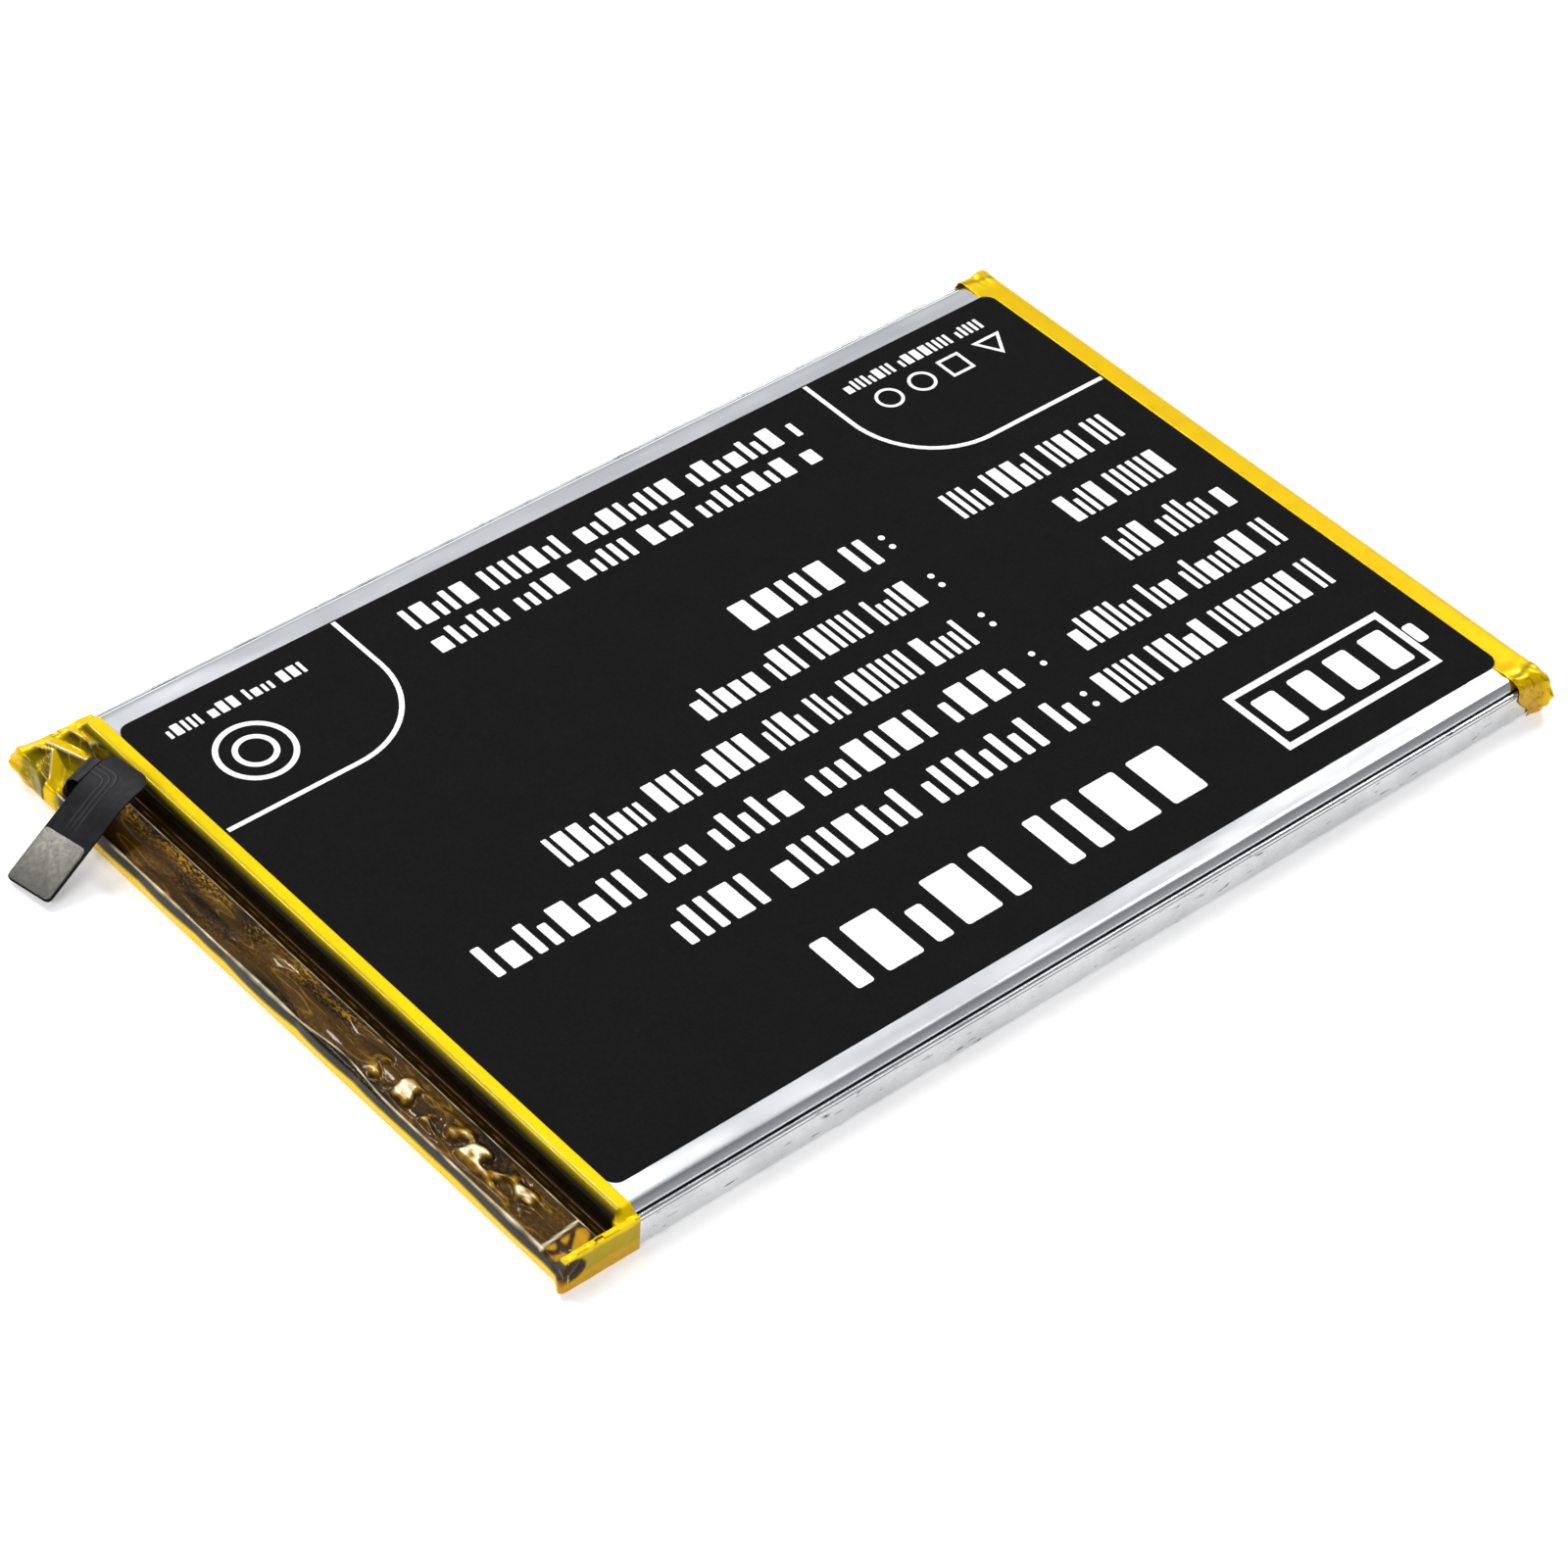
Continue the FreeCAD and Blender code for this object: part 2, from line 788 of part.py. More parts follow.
def make_tail_tape():
    """The tape folded over the far end: a cap over the shoulder, cut back on top to the label's edge."""
    body = new_body("tail_tape")
    depth = "(tape_side_reach + rear_margin + tape)"
    bind(body, y=f"cell_length / 2 - {depth} / 2")
    outline = rectangle(body, "tail_outline", "2 * (seal_reach + tape_slack + tape)", depth)
    pad(body, "tail_block", outline, "cell_height + tape")
    top = size("cell_height") + size("tape")
    front = -size("tape_side_reach") / 2 - size("rear_margin") / 2 - size("tape") / 2

    def shoulder_edge(edge):
        ends = [vertex.Point for vertex in edge.Vertexes]
        on_top = all(same(point.z, top) for point in ends)
        return on_top and not all(same(point.y, front) for point in ends)

    round_edges(body, "tail_shoulder", "shoulder_radius + tape", shoulder_edge)
    hollow(body, "tail_shell", "tape", lambda centre: centre.y)
    notch = rectangle(
        body,
        "tail_label_outline",
        "label_width + 2 * label_gap",
        "2 * (tape_side_reach + label_gap)",
        y=f"-{depth} / 2",
        z="cell_height - tape",
    )
    pocket_up(body, "tail_label_notch", notch, "cutter_margin")
    return body


def make_label():
    body = new_body("label")
    bind(body, y="label_edge + label_length / 2", z="cell_height")
    outline = rectangle(body, "label_outline", "label_width", "label_length")
    pad(body, "label_sheet", outline, "label_thickness")
    round_edges(body, "label_corners", "label_radius", upright)
    return body


# ---------------------------------------------------------------- flex tail


def fold_frame():
    """The frame of the fold's top edge: origin at its inner end, -Y out along the fold."""
    place = Vector(size("flex_left"), size("flex_back"), size("flex_rest"))
    return FreeCAD.Placement(place, FreeCAD.Rotation(Vector(0, 0, 1), size("flex_yaw")))


def arm_frame():
    """The fold's frame turned so that the arm rises from it towards +X."""
    tilt = FreeCAD.Rotation(Vector(0, 1, 0), -size("flex_rise"))
    return fold_frame().multiply(FreeCAD.Placement(Vector(), tilt))


def arm_point(along, lift):
    """A point of the arm's curve, in its frame, at an arc length along it and a lift off its middle."""
    radius = size("droop_radius")
    turn = min(along / radius, math.radians(size("droop")))
    straight = along - turn * radius
    out = radius * math.sin(turn) + straight * math.cos(turn)
    drop = radius * (1 - math.cos(turn)) + straight * math.sin(turn)
    return Vector(0, -out - lift * math.sin(turn), -drop + lift * math.cos(turn))


def tail_frame():
    """The frame at the arm's bend, with -Y down along the straight end."""
    turn = FreeCAD.Rotation(Vector(1, 0, 0), size("droop"))
    return arm_frame().multiply(FreeCAD.Placement(arm_point(size("bend_place"), 0.0), turn))


def fold_section(out, root_height):
    """The closed outline of the ribbon's fold at a distance out: along the board, then round and up."""
    half = size("flex_thickness") / 2
    left = -size("flex_gap") / 2
    right = left + size("root_length")
    upper = math.sqrt(size("droop_radius") ** 2 - out**2) - size("droop_radius")
    middle = (upper + root_height) / 2
    radius = (upper - root_height) / 2

    def at(x, z):
        return Vector(x, -out, z)

    outer = Part.Arc(
        at(left, root_height - half), at(left - radius - half, middle), at(left, upper + half)
    )
    inner = Part.Arc(
        at(left, upper - half), at(left - radius + half, middle), at(left, root_height + half)
    )
    edges = [
        Part.LineSegment(at(right, root_height - half), at(left, root_height - half)),
        outer,
        Part.LineSegment(at(left, upper + half), at(left, upper - half)),
        inner,
        Part.LineSegment(at(left, root_height + half), at(right, root_height + half)),
        Part.LineSegment(at(right, root_height + half), at(right, root_height - half)),
    ]
    return Part.Wire([edge.toShape() for edge in edges])


def make_flex_root():
    """The ribbon's soldered end and the fold that carries it up to the arm, with its solder joints."""
    frame = fold_frame()
    half = size("flex_thickness") / 2
    root_height = size("board_top") + half - frame.Base.z
    near = size("fold_near")
    far = size("fold_far")
    sections = [fold_section(out, root_height) for out in (near, far)]
    feature_part("flex_root", Part.makeLoft(sections, True, True), frame)
    step = (far - near) / size("solder_joints")
    sizes = [size(f"solder_{way}") for way in ("long", "wide", "tall")]
    across = size("root_length") - size("flex_gap") / 2 + sizes[0] / 2
    joints = [
        centred_box(across, near + step * (i + 0.5), root_height - half, sizes)
        for i in range(int(size("solder_joints")))
    ]
    feature_part("flex_solder_joints", Part.makeCompound(joints), frame)


def make_flex_arm():
    """The arm: the ribbon's curved length from the fold to its bend."""
    half = size("flex_thickness") / 2
    arc_length = size("droop_radius") * math.radians(size("droop"))
    end = size("bend_place") - size("flex_gap") / 2
    edges = []
    for lift in (half, -half):
        edges.append(
            Part.Arc(*[arm_point(along, lift) for along in (0.0, arc_length / 2, arc_length)])
        )
        edges.append(Part.LineSegment(arm_point(arc_length, lift), arm_point(end, lift)))
    for along in (0.0, end):
        edges.append(Part.LineSegment(arm_point(along, half), arm_point(along, -half)))
    wire = Part.Wire(Part.__sortEdges__([edge.toShape() for edge in edges]))
    solid = Part.Face(wire).extrude(Vector(size("flex_width"), 0, 0))
    feature_part("flex_arm", solid, arm_frame())


def rounded_ends(shape, radius, out):
    """The shape with its upright edges at a distance out filleted."""
    corners = [edge for edge in shape.Edges if upright(edge) and same(edge.Vertexes[0].Point.y, -out)]
    return shape.makeFillet(radius, corners)


def make_flex_tail():
    """The ribbon's straight end, its steel backing plate and the connector under it."""
    frame = tail_frame()
    half = size("flex_thickness") / 2
    width = size("flex_width")
    length = size("tail_length")
    gap = size("flex_gap") / 2
    ribbon = centred_box(width / 2, (length + gap) / 2, -half, (width, length - gap, 2 * half))
    feature_part("flex_tail", rounded_ends(ribbon, size("tail_corner"), length), frame)

    middle = (width / 2, length - size("plate_rim") - size("plate_long") / 2)
    plate = centred_box(*middle, half, [size(name) for name in ("plate_wide", "plate_long", "plate_thick")])
    corners = [edge for edge in plate.Edges if upright(edge)]
    feature_part("stiffener_plate", plate.makeFillet(size("plate_radius"), corners), frame)
    make_connector(frame, middle, half)


def make_connector(frame, middle, half):
    """The board-to-board plug: housing with a slot and a key, signal contacts and power blades."""
    across, out = middle
    long, wide, tall = (size(f"socket_{way}") for way in ("long", "wide", "tall"))
    wall = size("socket_wall")
    depth = size("socket_depth")
    floor = -half - tall
    housing = centred_box(across, out, floor, (long, wide, tall))
    slot = centred_box(across, out, floor, (long - 2 * wall, wide - 2 * wall, depth))
    key_sizes = (long - 4 * wall, size("socket_key"), depth)
    key = centred_box(across, out, floor, key_sizes)
    feature_part("connector_housing", housing.cut(slot).fuse(key).removeSplitter(), frame)

    contact = [size(f"contact_{way}") for way in ("long", "wide", "tall")]
    per_row = int(size("contacts_per_row"))
    first = across - (per_row - 1) / 2 * size("contact_pitch")
    contacts = [
        centred_box(
            first + i * size("contact_pitch"),
            out + row * (wide + contact[1]) / 2,
            -half - contact[2],
            contact,
        )
        for row in (-1, 1)
        for i in range(per_row)
    ]
    feature_part("connector_contacts", Part.makeCompound(contacts), frame)

    blade = [size(f"blade_{way}") for way in ("long", "wide", "tall")]
    blades = [
        centred_box(across + way * (long + blade[0]) / 2, out, -half - blade[2], blade)
        for way in (-1, 1)
    ]
    feature_part("connector_power_blades", Part.makeCompound(blades), frame)


# ---------------------------------------------------------------- build, check and write


def build():
    make_cup()
    make_lid()
    make_side_seal("side_seal_left", -1)
    make_side_seal("side_seal_right", 1)
    make_roll()
    make_roll_tape()
    make_tab("tab_negative", "anode_foil", "negative_place")
    make_tab("tab_positive", "cathode_foil", "positive_place")
    make_sealant("tab_sealant_negative", "negative_place")
    make_sealant("tab_sealant_positive", "positive_place")
    make_board()
    for label, (kind, places) in BOARD_PARTS.items():
        make_on_board(label, kind, places)
    make_board_cover()
    make_terrace_tape()
    make_tail_tape()
    make_label()
    make_flex_root()
    make_flex_arm()
    make_flex_tail()
    doc.recompute()


def check():
    """Stop if any object failed or any sub-part has no valid solid."""
    for thing in doc.Objects:
        if "Invalid" in thing.State or "Error" in thing.State:
            raise RuntimeError(f"{thing.Label} failed: {thing.State}")
    for part in parts:
        shape = part.Shape
        if shape.isNull() or not shape.isValid() or not shape.Solids:
            raise RuntimeError(f"{part.Label} has no valid solid")


def write():
    os.makedirs(OUT_DIR, exist_ok=True)
    for part in parts:
        part.Shape.exportStep(os.path.join(OUT_DIR, f"{part.Label}.step"))
        box = part.Shape.BoundBox
        print(
            f"{part.Label}: {len(part.Shape.Solids)} solid(s), volume {part.Shape.Volume:.3f}, "
            f"z {box.ZMin:.3f} to {box.ZMax:.3f}, y {box.YMin:.2f} to {box.YMax:.2f}, "
            f"x {box.XMin:.2f} to {box.XMax:.2f}"
        )


build()
check()
write()
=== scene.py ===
"""Looks for the pouch battery pack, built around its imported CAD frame.

Lengths here are millimetres. They become metres where a mesh, a light or the camera is placed.
The pack lies on its back: +Z is up through the label and the terrace with the flex tail is at -Y.
"""

import json
import math
import random

import bmesh
import bpy
from mathutils import Matrix, Vector, noise


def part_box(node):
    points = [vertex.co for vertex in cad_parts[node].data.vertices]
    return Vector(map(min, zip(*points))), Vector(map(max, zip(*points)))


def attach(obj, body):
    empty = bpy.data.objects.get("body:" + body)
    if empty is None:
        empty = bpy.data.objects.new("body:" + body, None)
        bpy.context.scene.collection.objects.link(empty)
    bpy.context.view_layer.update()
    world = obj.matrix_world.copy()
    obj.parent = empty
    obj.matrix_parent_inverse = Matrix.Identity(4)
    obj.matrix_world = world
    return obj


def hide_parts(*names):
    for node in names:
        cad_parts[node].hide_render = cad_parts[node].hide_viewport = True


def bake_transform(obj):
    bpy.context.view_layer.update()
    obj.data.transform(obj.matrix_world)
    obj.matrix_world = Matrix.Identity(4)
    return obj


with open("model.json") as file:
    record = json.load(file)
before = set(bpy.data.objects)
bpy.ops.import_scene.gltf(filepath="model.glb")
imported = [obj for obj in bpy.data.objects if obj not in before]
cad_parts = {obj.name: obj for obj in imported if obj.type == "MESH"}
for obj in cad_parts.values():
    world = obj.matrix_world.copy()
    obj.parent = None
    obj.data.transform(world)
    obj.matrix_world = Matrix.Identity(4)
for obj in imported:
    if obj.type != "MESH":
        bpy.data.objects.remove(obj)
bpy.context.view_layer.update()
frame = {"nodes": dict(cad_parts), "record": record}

MM = 0.001
FILM = 0.06


# The colours seen through the amber film, from bare pouch to the dark board; some also serve as painted highlights and
# painted shade.
YELLOW = (0.88, 0.59, 0.0)
OLIVE = (0.24, 0.18, 0.0)
TAN = (0.66, 0.38, 0.012)
CREAM = (1.0, 0.9, 0.62)
BRONZE = (0.050, 0.024, 0.003)
BROWN = (0.032, 0.014, 0.002)
DEEP = (0.010, 0.0045, 0.001)
BLACK_BROWN = (0.006, 0.004, 0.001)
GOLD = (0.44, 0.23, 0.006)
FLANGE_YELLOW = (1.0, 0.64, 0.0)
AMBER = (0.70, 0.31, 0.004)
# Painted shade: the dark red-brown laid into the creases of crumpled film.
CREASE_SHADE_BROWN = (0.20, 0.06, 0.002)
TAIL_YELLOW = (0.80, 0.515, 0.0)
# Painted shade for the rounded far edge of the tail film.
TAIL_EDGE_SHADE = (0.46, 0.25, 0.002)


def corners(node):
    """The low and high corners of a CAD node, in millimetres."""
    low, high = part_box(node)
    return low / MM, high / MM


LABEL_LOW, LABEL_HIGH = corners("label")
SEAL_LOW, SEAL_HIGH = corners("side_seal_right")
TERRACE_LOW, TERRACE_HIGH = corners("terrace_tape")
TAIL_LOW, TAIL_HIGH = corners("tail_tape")
BOARD_COVER_TOP = corners("pcm_cover_sheet")[1].z


def clamp(value, low=0.0, high=1.0):
    return max(low, min(high, value))


def ease(value, start, end):
    """0 before start, 1 after end and a smooth rise between them; start may be above end."""
    t = clamp((value - start) / (end - start))
    return t * t * (3 - 2 * t)


def mix(first, second, share):
    return [a + (b - a) * share for a, b in zip(first, second)]


# ---------------------------------------------------------------- materials


class Look:
    """A node material being built: its shader, and short ways to add texture nodes to it."""

    def __init__(self, name, sockets):
        self.material = bpy.data.materials.new(name)
        self.material.use_nodes = True
        self.nodes = self.material.node_tree.nodes
        self.links = self.material.node_tree.links
        self.shader = next(node for node in self.nodes if node.type == "BSDF_PRINCIPLED")
        for socket, value in sockets.items():
            self.shader.inputs[socket].default_value = value
        scaled = self.add("ShaderNodeVectorMath", operation="SCALE")
        scaled.inputs["Scale"].default_value = 1 / MM
        self.links.new(self.add("ShaderNodeTexCoord").outputs["Object"], scaled.inputs[0])
        self.place = scaled.outputs["Vector"]

    def add(self, kind, **settings):
        node = self.nodes.new(kind)
        for name, value in settings.items():
            setattr(node, name, value)
        return node

    def noise(self, grain, detail=3.0, stretch=(1, 1, 1)):
        """Noise with features about grain millimetres across, drawn out along each axis by stretch."""
        mapping = self.add("ShaderNodeMapping")
        mapping.inputs["Scale"].default_value = [1 / (grain * along) for along in stretch]
        self.links.new(self.place, mapping.inputs["Vector"])
        texture = self.add("ShaderNodeTexNoise")
        texture.inputs["Scale"].default_value = 1.0
        texture.inputs["Detail"].default_value = detail
        self.links.new(mapping.outputs["Vector"], texture.inputs["Vector"])
        return texture.outputs["Fac"]

    def ramp(self, value, *stops):
        """A colour for each value, from (position, colour) stops in rising order."""
        node = self.add("ShaderNodeValToRGB")
        elements = node.color_ramp.elements
        for i, (position, colour) in enumerate(stops):
            element = elements[i] if i < 2 else elements.new(position)
            element.position = position
            element.color = (*colour, 1.0)
        self.links.new(value, node.inputs["Fac"])
        return node.outputs["Color"]

    def spread(self, value, low, high, start=0.3, end=0.7):
        node = self.add("ShaderNodeMapRange")
        for socket, number in (("From Min", start), ("From Max", end), ("To Min", low), ("To Max", high)):
            node.inputs[socket].default_value = number
        self.links.new(value, node.inputs["Value"])
        return node.outputs["Result"]

    def blend(self, share, first, second, kind="MIX"):
        """Two colours mixed; share and either colour may be a number, a colour or a socket."""
        node = self.add("ShaderNodeMix", data_type="RGBA", blend_type=kind)
        for socket, value in ((0, share), (6, first), (7, second)):
            if isinstance(value, bpy.types.NodeSocket):
                self.links.new(value, node.inputs[socket])
            elif socket:
                node.inputs[socket].default_value = (*value, 1.0)
            else:
                node.inputs[socket].default_value = value
        return node.outputs[2]

    def set(self, socket, value):
        self.links.new(value, self.shader.inputs[socket])
        return self

    def bump(self, height, depth, socket="Normal", below=None):
        """A bump of up to depth millimetres, on top of another one if it is given."""
        node = self.add("ShaderNodeBump")
        node.inputs["Distance"].default_value = depth * MM
        self.links.new(height, node.inputs["Height"])
        if below:
            self.links.new(below, node.inputs["Normal"])
        self.links.new(node.outputs["Normal"], self.shader.inputs[socket])
        return node.outputs["Normal"]


def laminate_look():
    """Satin aluminium laminate: a cool grey with a faint rolled grain and soft unevenness."""
    look = Look("aluminium_laminate", {"Metallic": 1.0})
    tint = look.noise(9.0)
    look.set("Base Color", look.ramp(tint, (0.35, (0.76, 0.775, 0.79)), (0.65, (0.83, 0.84, 0.855))))
    look.set("Roughness", look.spread(look.noise(1.2, stretch=(1, 8, 1)), 0.17, 0.25))
    soft = look.bump(look.noise(7.0, detail=1.0), 0.02)
    look.bump(look.noise(0.12, stretch=(1, 6, 1)), 0.0008, below=soft)
    return look.material


def seal_look():
    """The folded side seals: a painted shadow where the seal meets the pouch, painted shade along the crease of the
    fold, dark scuffs.
    """
    look = Look("folded_seal", {"Metallic": 1.0})
    scuff = look.noise(0.55, detail=6.0, stretch=(1, 3.5, 0.5))
    place = look.add("ShaderNodeSeparateXYZ")
    look.links.new(look.place, place.inputs[0])
    across = look.add("ShaderNodeMath", operation="ABSOLUTE")
    look.links.new(place.outputs["X"], across.inputs[0])
    # Painted shadow: a near-black hairline where the seal meets the pouch.
    seam_shadow = look.spread(across.outputs[0], 1.0, 0.0, start=SEAL_LOW.x + 0.11, end=SEAL_LOW.x + 0.15)
    # Painted shade: a dark line along the crease of the fold.
    line = look.add("ShaderNodeMath", operation="SUBTRACT")
    line.inputs[1].default_value = SEAL_HIGH.z - 0.36
    look.links.new(place.outputs["Z"], line.inputs[0])
    distance = look.add("ShaderNodeMath", operation="ABSOLUTE")
    look.links.new(line.outputs[0], distance.inputs[0])
    crease = look.spread(distance.outputs[0], 0.9, 0.0, start=0.035, end=0.08)
    tint = look.ramp(look.noise(4.0), (0.35, (0.60, 0.61, 0.62)), (0.65, (0.71, 0.715, 0.72)))
    marks = look.spread(scuff, 0.0, 1.0, start=0.65, end=0.69)
    colour = look.blend(marks, tint, (0.10, 0.10, 0.11))
    colour = look.blend(crease, colour, (0.07, 0.07, 0.075))
    look.set("Base Color", look.blend(seam_shadow, colour, (0.012, 0.012, 0.013)))
    look.set("Roughness", look.spread(look.noise(0.8, stretch=(1, 5, 1)), 0.22, 0.36))
    long_waves = look.bump(look.noise(2.4, stretch=(1, 4, 1)), 0.02)
    look.bump(scuff, 0.006, below=long_waves)
    return look.material


def label_look():
    """Matt black label film with a fine printed tooth."""
    look = Look("label_film", {"Specular IOR Level": 0.02})
    grain = look.noise(0.25)
    look.set("Base Color", look.ramp(grain, (0.3, (0.0068, 0.0068, 0.0072)), (0.7, (0.0094, 0.0094, 0.0098))))
    look.set("Roughness", look.spread(look.noise(3.0), 0.55, 0.68))
    look.bump(grain, 0.002)
    return look.material


def ink_look():
    """White screen-printed ink, a little uneven."""
    look = Look("white_ink", {"Specular IOR Level": 0.25})
    look.set("Base Color", look.ramp(look.noise(0.4), (0.3, (0.87, 0.87, 0.86)), (0.7, (0.95, 0.95, 0.945))))
    look.set("Roughness", look.spread(look.noise(1.5), 0.42, 0.55))
    look.bump(look.noise(0.12), 0.0015)
    return look.material


def film_look():
    """Glossy amber film: what lies behind it, along with painted highlights and painted shade, is painted into the
    mesh; the gloss is a clear coat.
    """
    sockets = {"Metallic": 0.3, "Specular IOR Level": 0.05, "Coat Weight": 0.16, "Coat Roughness": 0.03}
    look = Look("amber_film", sockets)
    backing = look.add("ShaderNodeAttribute", attribute_name="film_colour").outputs["Color"]
    shade = look.ramp(look.noise(3.0, detail=2.0), (0.3, (0.96,) * 3), (0.62, (1.0,) * 3))
    toned = look.blend(1.0, backing, shade, kind="MULTIPLY")
    grit = look.add("ShaderNodeMath", operation="MULTIPLY")
    look.links.new(look.add("ShaderNodeAttribute", attribute_name="film_grit").outputs["Fac"], grit.inputs[0])
    speckle = look.noise(0.16, detail=5.0, stretch=(2.2, 1, 1))
    look.links.new(look.spread(speckle, 0.0, 1.0, start=0.48, end=0.62), grit.inputs[1])
    look.set("Base Color", look.blend(grit.outputs[0], toned, GOLD))
    look.set("Roughness", look.spread(look.noise(2.0, detail=1.0), 0.26, 0.34))
    fine = look.noise(1.4, detail=2.0, stretch=(2.5, 1, 1))
    look.bump(fine, 0.002)
    look.bump(fine, 0.002, socket="Coat Normal")
    return look.material


def flex_look():
    """Black cover film of the flex, faintly mottled by the copper under it."""
    look = Look("flex_cover_film", {"Specular IOR Level": 0.09})
    shade = look.noise(0.6, detail=5.0)
    cover = look.ramp(shade, (0.35, (0.007, 0.007, 0.008)), (0.7, (0.013, 0.013, 0.015)))
    track = look.add("ShaderNodeAttribute", attribute_name="track").outputs["Fac"]
    look.set("Base Color", look.blend(track, cover, (0.05, 0.05, 0.054)))
    look.set("Roughness", look.spread(look.noise(0.35), 0.36, 0.5))
    look.bump(shade, 0.008)
    return look.material


def steel_look():
    """Mottled cold-rolled steel."""
    look = Look("rolled_steel", {"Metallic": 1.0})
    mottle = look.noise(0.42, detail=6.0)
    look.set("Base Color", look.ramp(mottle, (0.36, (0.150, 0.145, 0.126)), (0.64, (0.205, 0.200, 0.177))))
    look.set("Roughness", look.spread(look.noise(0.25, detail=5.0), 0.44, 0.60))
    look.bump(mottle, 0.006)
    return look.material


def plain_look(name, dark, light, grain, rough, metallic=0.0, depth=0.002, stretch=(1, 1, 1)):
    """A two-tone grain for the smaller parts: colours, grain size, roughness range and relief."""
    look = Look(name, {"Metallic": metallic})
    texture = look.noise(grain, detail=5.0, stretch=stretch)
    look.set("Base Color", look.ramp(texture, (0.35, dark), (0.65, light)))
    look.set("Roughness", look.spread(look.noise(grain * 2), *rough))
    look.bump(texture, depth)
    return look.material


def small_part_looks():
    """The materials of everything inside the pouch, on the board and in the connector, by slot."""
    along = (1, 12, 1)
    across = (6, 1, 1)
    return {
        "copper_coat": plain_look("graphite", (0.02, 0.02, 0.022), (0.045, 0.045, 0.048), 0.08, (0.6, 0.8)),
        "aluminium_coat": plain_look("oxide", (0.013, 0.013, 0.014), (0.03, 0.03, 0.031), 0.06, (0.65, 0.85)),
        "separator_film": plain_look("separator", (0.8, 0.8, 0.78), (0.92, 0.92, 0.9), 0.1, (0.5, 0.65)),
        "inner_tape": plain_look("green_tape", (0.03, 0.16, 0.05), (0.05, 0.22, 0.07), 1.5, (0.25, 0.35)),
        "tab_nickel": plain_look(
            "nickel", (0.5, 0.48, 0.44), (0.64, 0.61, 0.57), 0.1, (0.25, 0.4), 1.0, 0.001, along
        ),
        "tab_aluminium": plain_look(
            "bare_aluminium", (0.72, 0.73, 0.74), (0.86, 0.86, 0.87), 0.1, (0.25, 0.4), 1.0, 0.001, along
        ),
        "sealant": plain_look("sealant", (0.62, 0.56, 0.4), (0.76, 0.71, 0.56), 0.8, (0.25, 0.4)),
        "foam": plain_look("foam", (0.012, 0.012, 0.012), (0.05, 0.05, 0.05), 0.12, (0.8, 0.95), 0.0, 0.03),
        "circuit_board": plain_look(
            "solder_mask", (0.006, 0.045, 0.018), (0.014, 0.085, 0.036), 0.5, (0.2, 0.32), 0.0, 0.004, across
        ),
        "chip_body": plain_look("chip", (0.014, 0.014, 0.015), (0.03, 0.03, 0.031), 0.06, (0.5, 0.65)),
        "ceramic_chip": plain_look("ceramic", (0.26, 0.18, 0.1), (0.42, 0.31, 0.19), 0.15, (0.4, 0.55)),
        "insulating_sheet": plain_look("insulator", (0.012, 0.01, 0.008), (0.03, 0.024, 0.018), 0.6, (0.3, 0.45)),
        "solder": plain_look("solder", (0.55, 0.55, 0.56), (0.75, 0.75, 0.76), 0.15, (0.12, 0.24), 1.0, 0.01),
        "connector_plastic": plain_look("nylon", (0.03, 0.026, 0.022), (0.055, 0.048, 0.042), 0.1, (0.4, 0.55)),
        "contact_gold": plain_look("gold", (0.75, 0.48, 0.14), (0.9, 0.62, 0.24), 0.08, (0.15, 0.28), 1.0),
    }


LOOKS = small_part_looks()
LOOKS.update(
    laminate=laminate_look(),
    label_print=label_look(),
    polyimide_tape=film_look(),
    flex_cover=flex_look(),
    steel_plate=steel_look(),
)
INK = ink_look()
SEAL = seal_look()


def dress(node, look):
    """Give a CAD node its material."""
    mesh = frame["nodes"][node].data
    mesh.materials.clear()
    mesh.materials.append(look)


def dress_nodes():
    for part in frame["record"]["subparts"]:
        dress(part["node"], LOOKS[part["material_slot"]])
    for node in ("side_seal_left", "side_seal_right"):
        dress(node, SEAL)


# ---------------------------------------------------------------- meshes


def new_object(name, points, faces, look):
    """A smooth-shaded mesh object from points in millimetres."""
    mesh = bpy.data.meshes.new(name)
    mesh.from_pydata([[value * MM for value in point] for point in points], [], faces)
    mesh.materials.append(look)
    mesh.validate()
    thing = bpy.data.objects.new(name, mesh)
    bpy.context.scene.collection.objects.link(thing)
    return thing


def shade(thing, angle=40):
    """Smooth shading, with edges sharper than angle left crisp."""
    for polygon in thing.data.polygons:
        polygon.use_smooth = True
    thing.data.set_sharp_from_angle(angle=math.radians(angle))


def thicken(thing, thickness):
    """Give a sheet its thickness, inward from its outer face, as real geometry."""
    modifier = thing.modifiers.new("thickness", "SOLIDIFY")
    modifier.thickness = thickness * MM
    modifier.offset = -1.0
    return thing


def weld(thing, gap=0.004):
    """Join the edges of patches that meet and drop faces with no area."""
    work = bmesh.new()
    work.from_mesh(thing.data)
    bmesh.ops.remove_doubles(work, verts=work.verts, dist=gap * MM)
    bmesh.ops.dissolve_degenerate(work, edges=work.edges, dist=gap * MM)
    bmesh.ops.recalc_face_normals(work, faces=work.faces)
    work.to_mesh(thing.data)
    work.free()


def grid_faces(rows, columns, first=0):
    """Quads over a grid of points laid out row by row."""
    quads = []
    for row in range(rows - 1):
        for column in range(columns - 1):
            corner = first + row * columns + column
            quads.append((corner, corner + 1, corner + columns + 1, corner + columns))
    return quads


def steps(start, end, pitch):
    """Evenly spaced values from start to end, about pitch apart."""
    count = max(1, round(abs(end - start) / pitch))
    return [start + (end - start) * i / count for i in range(count + 1)]


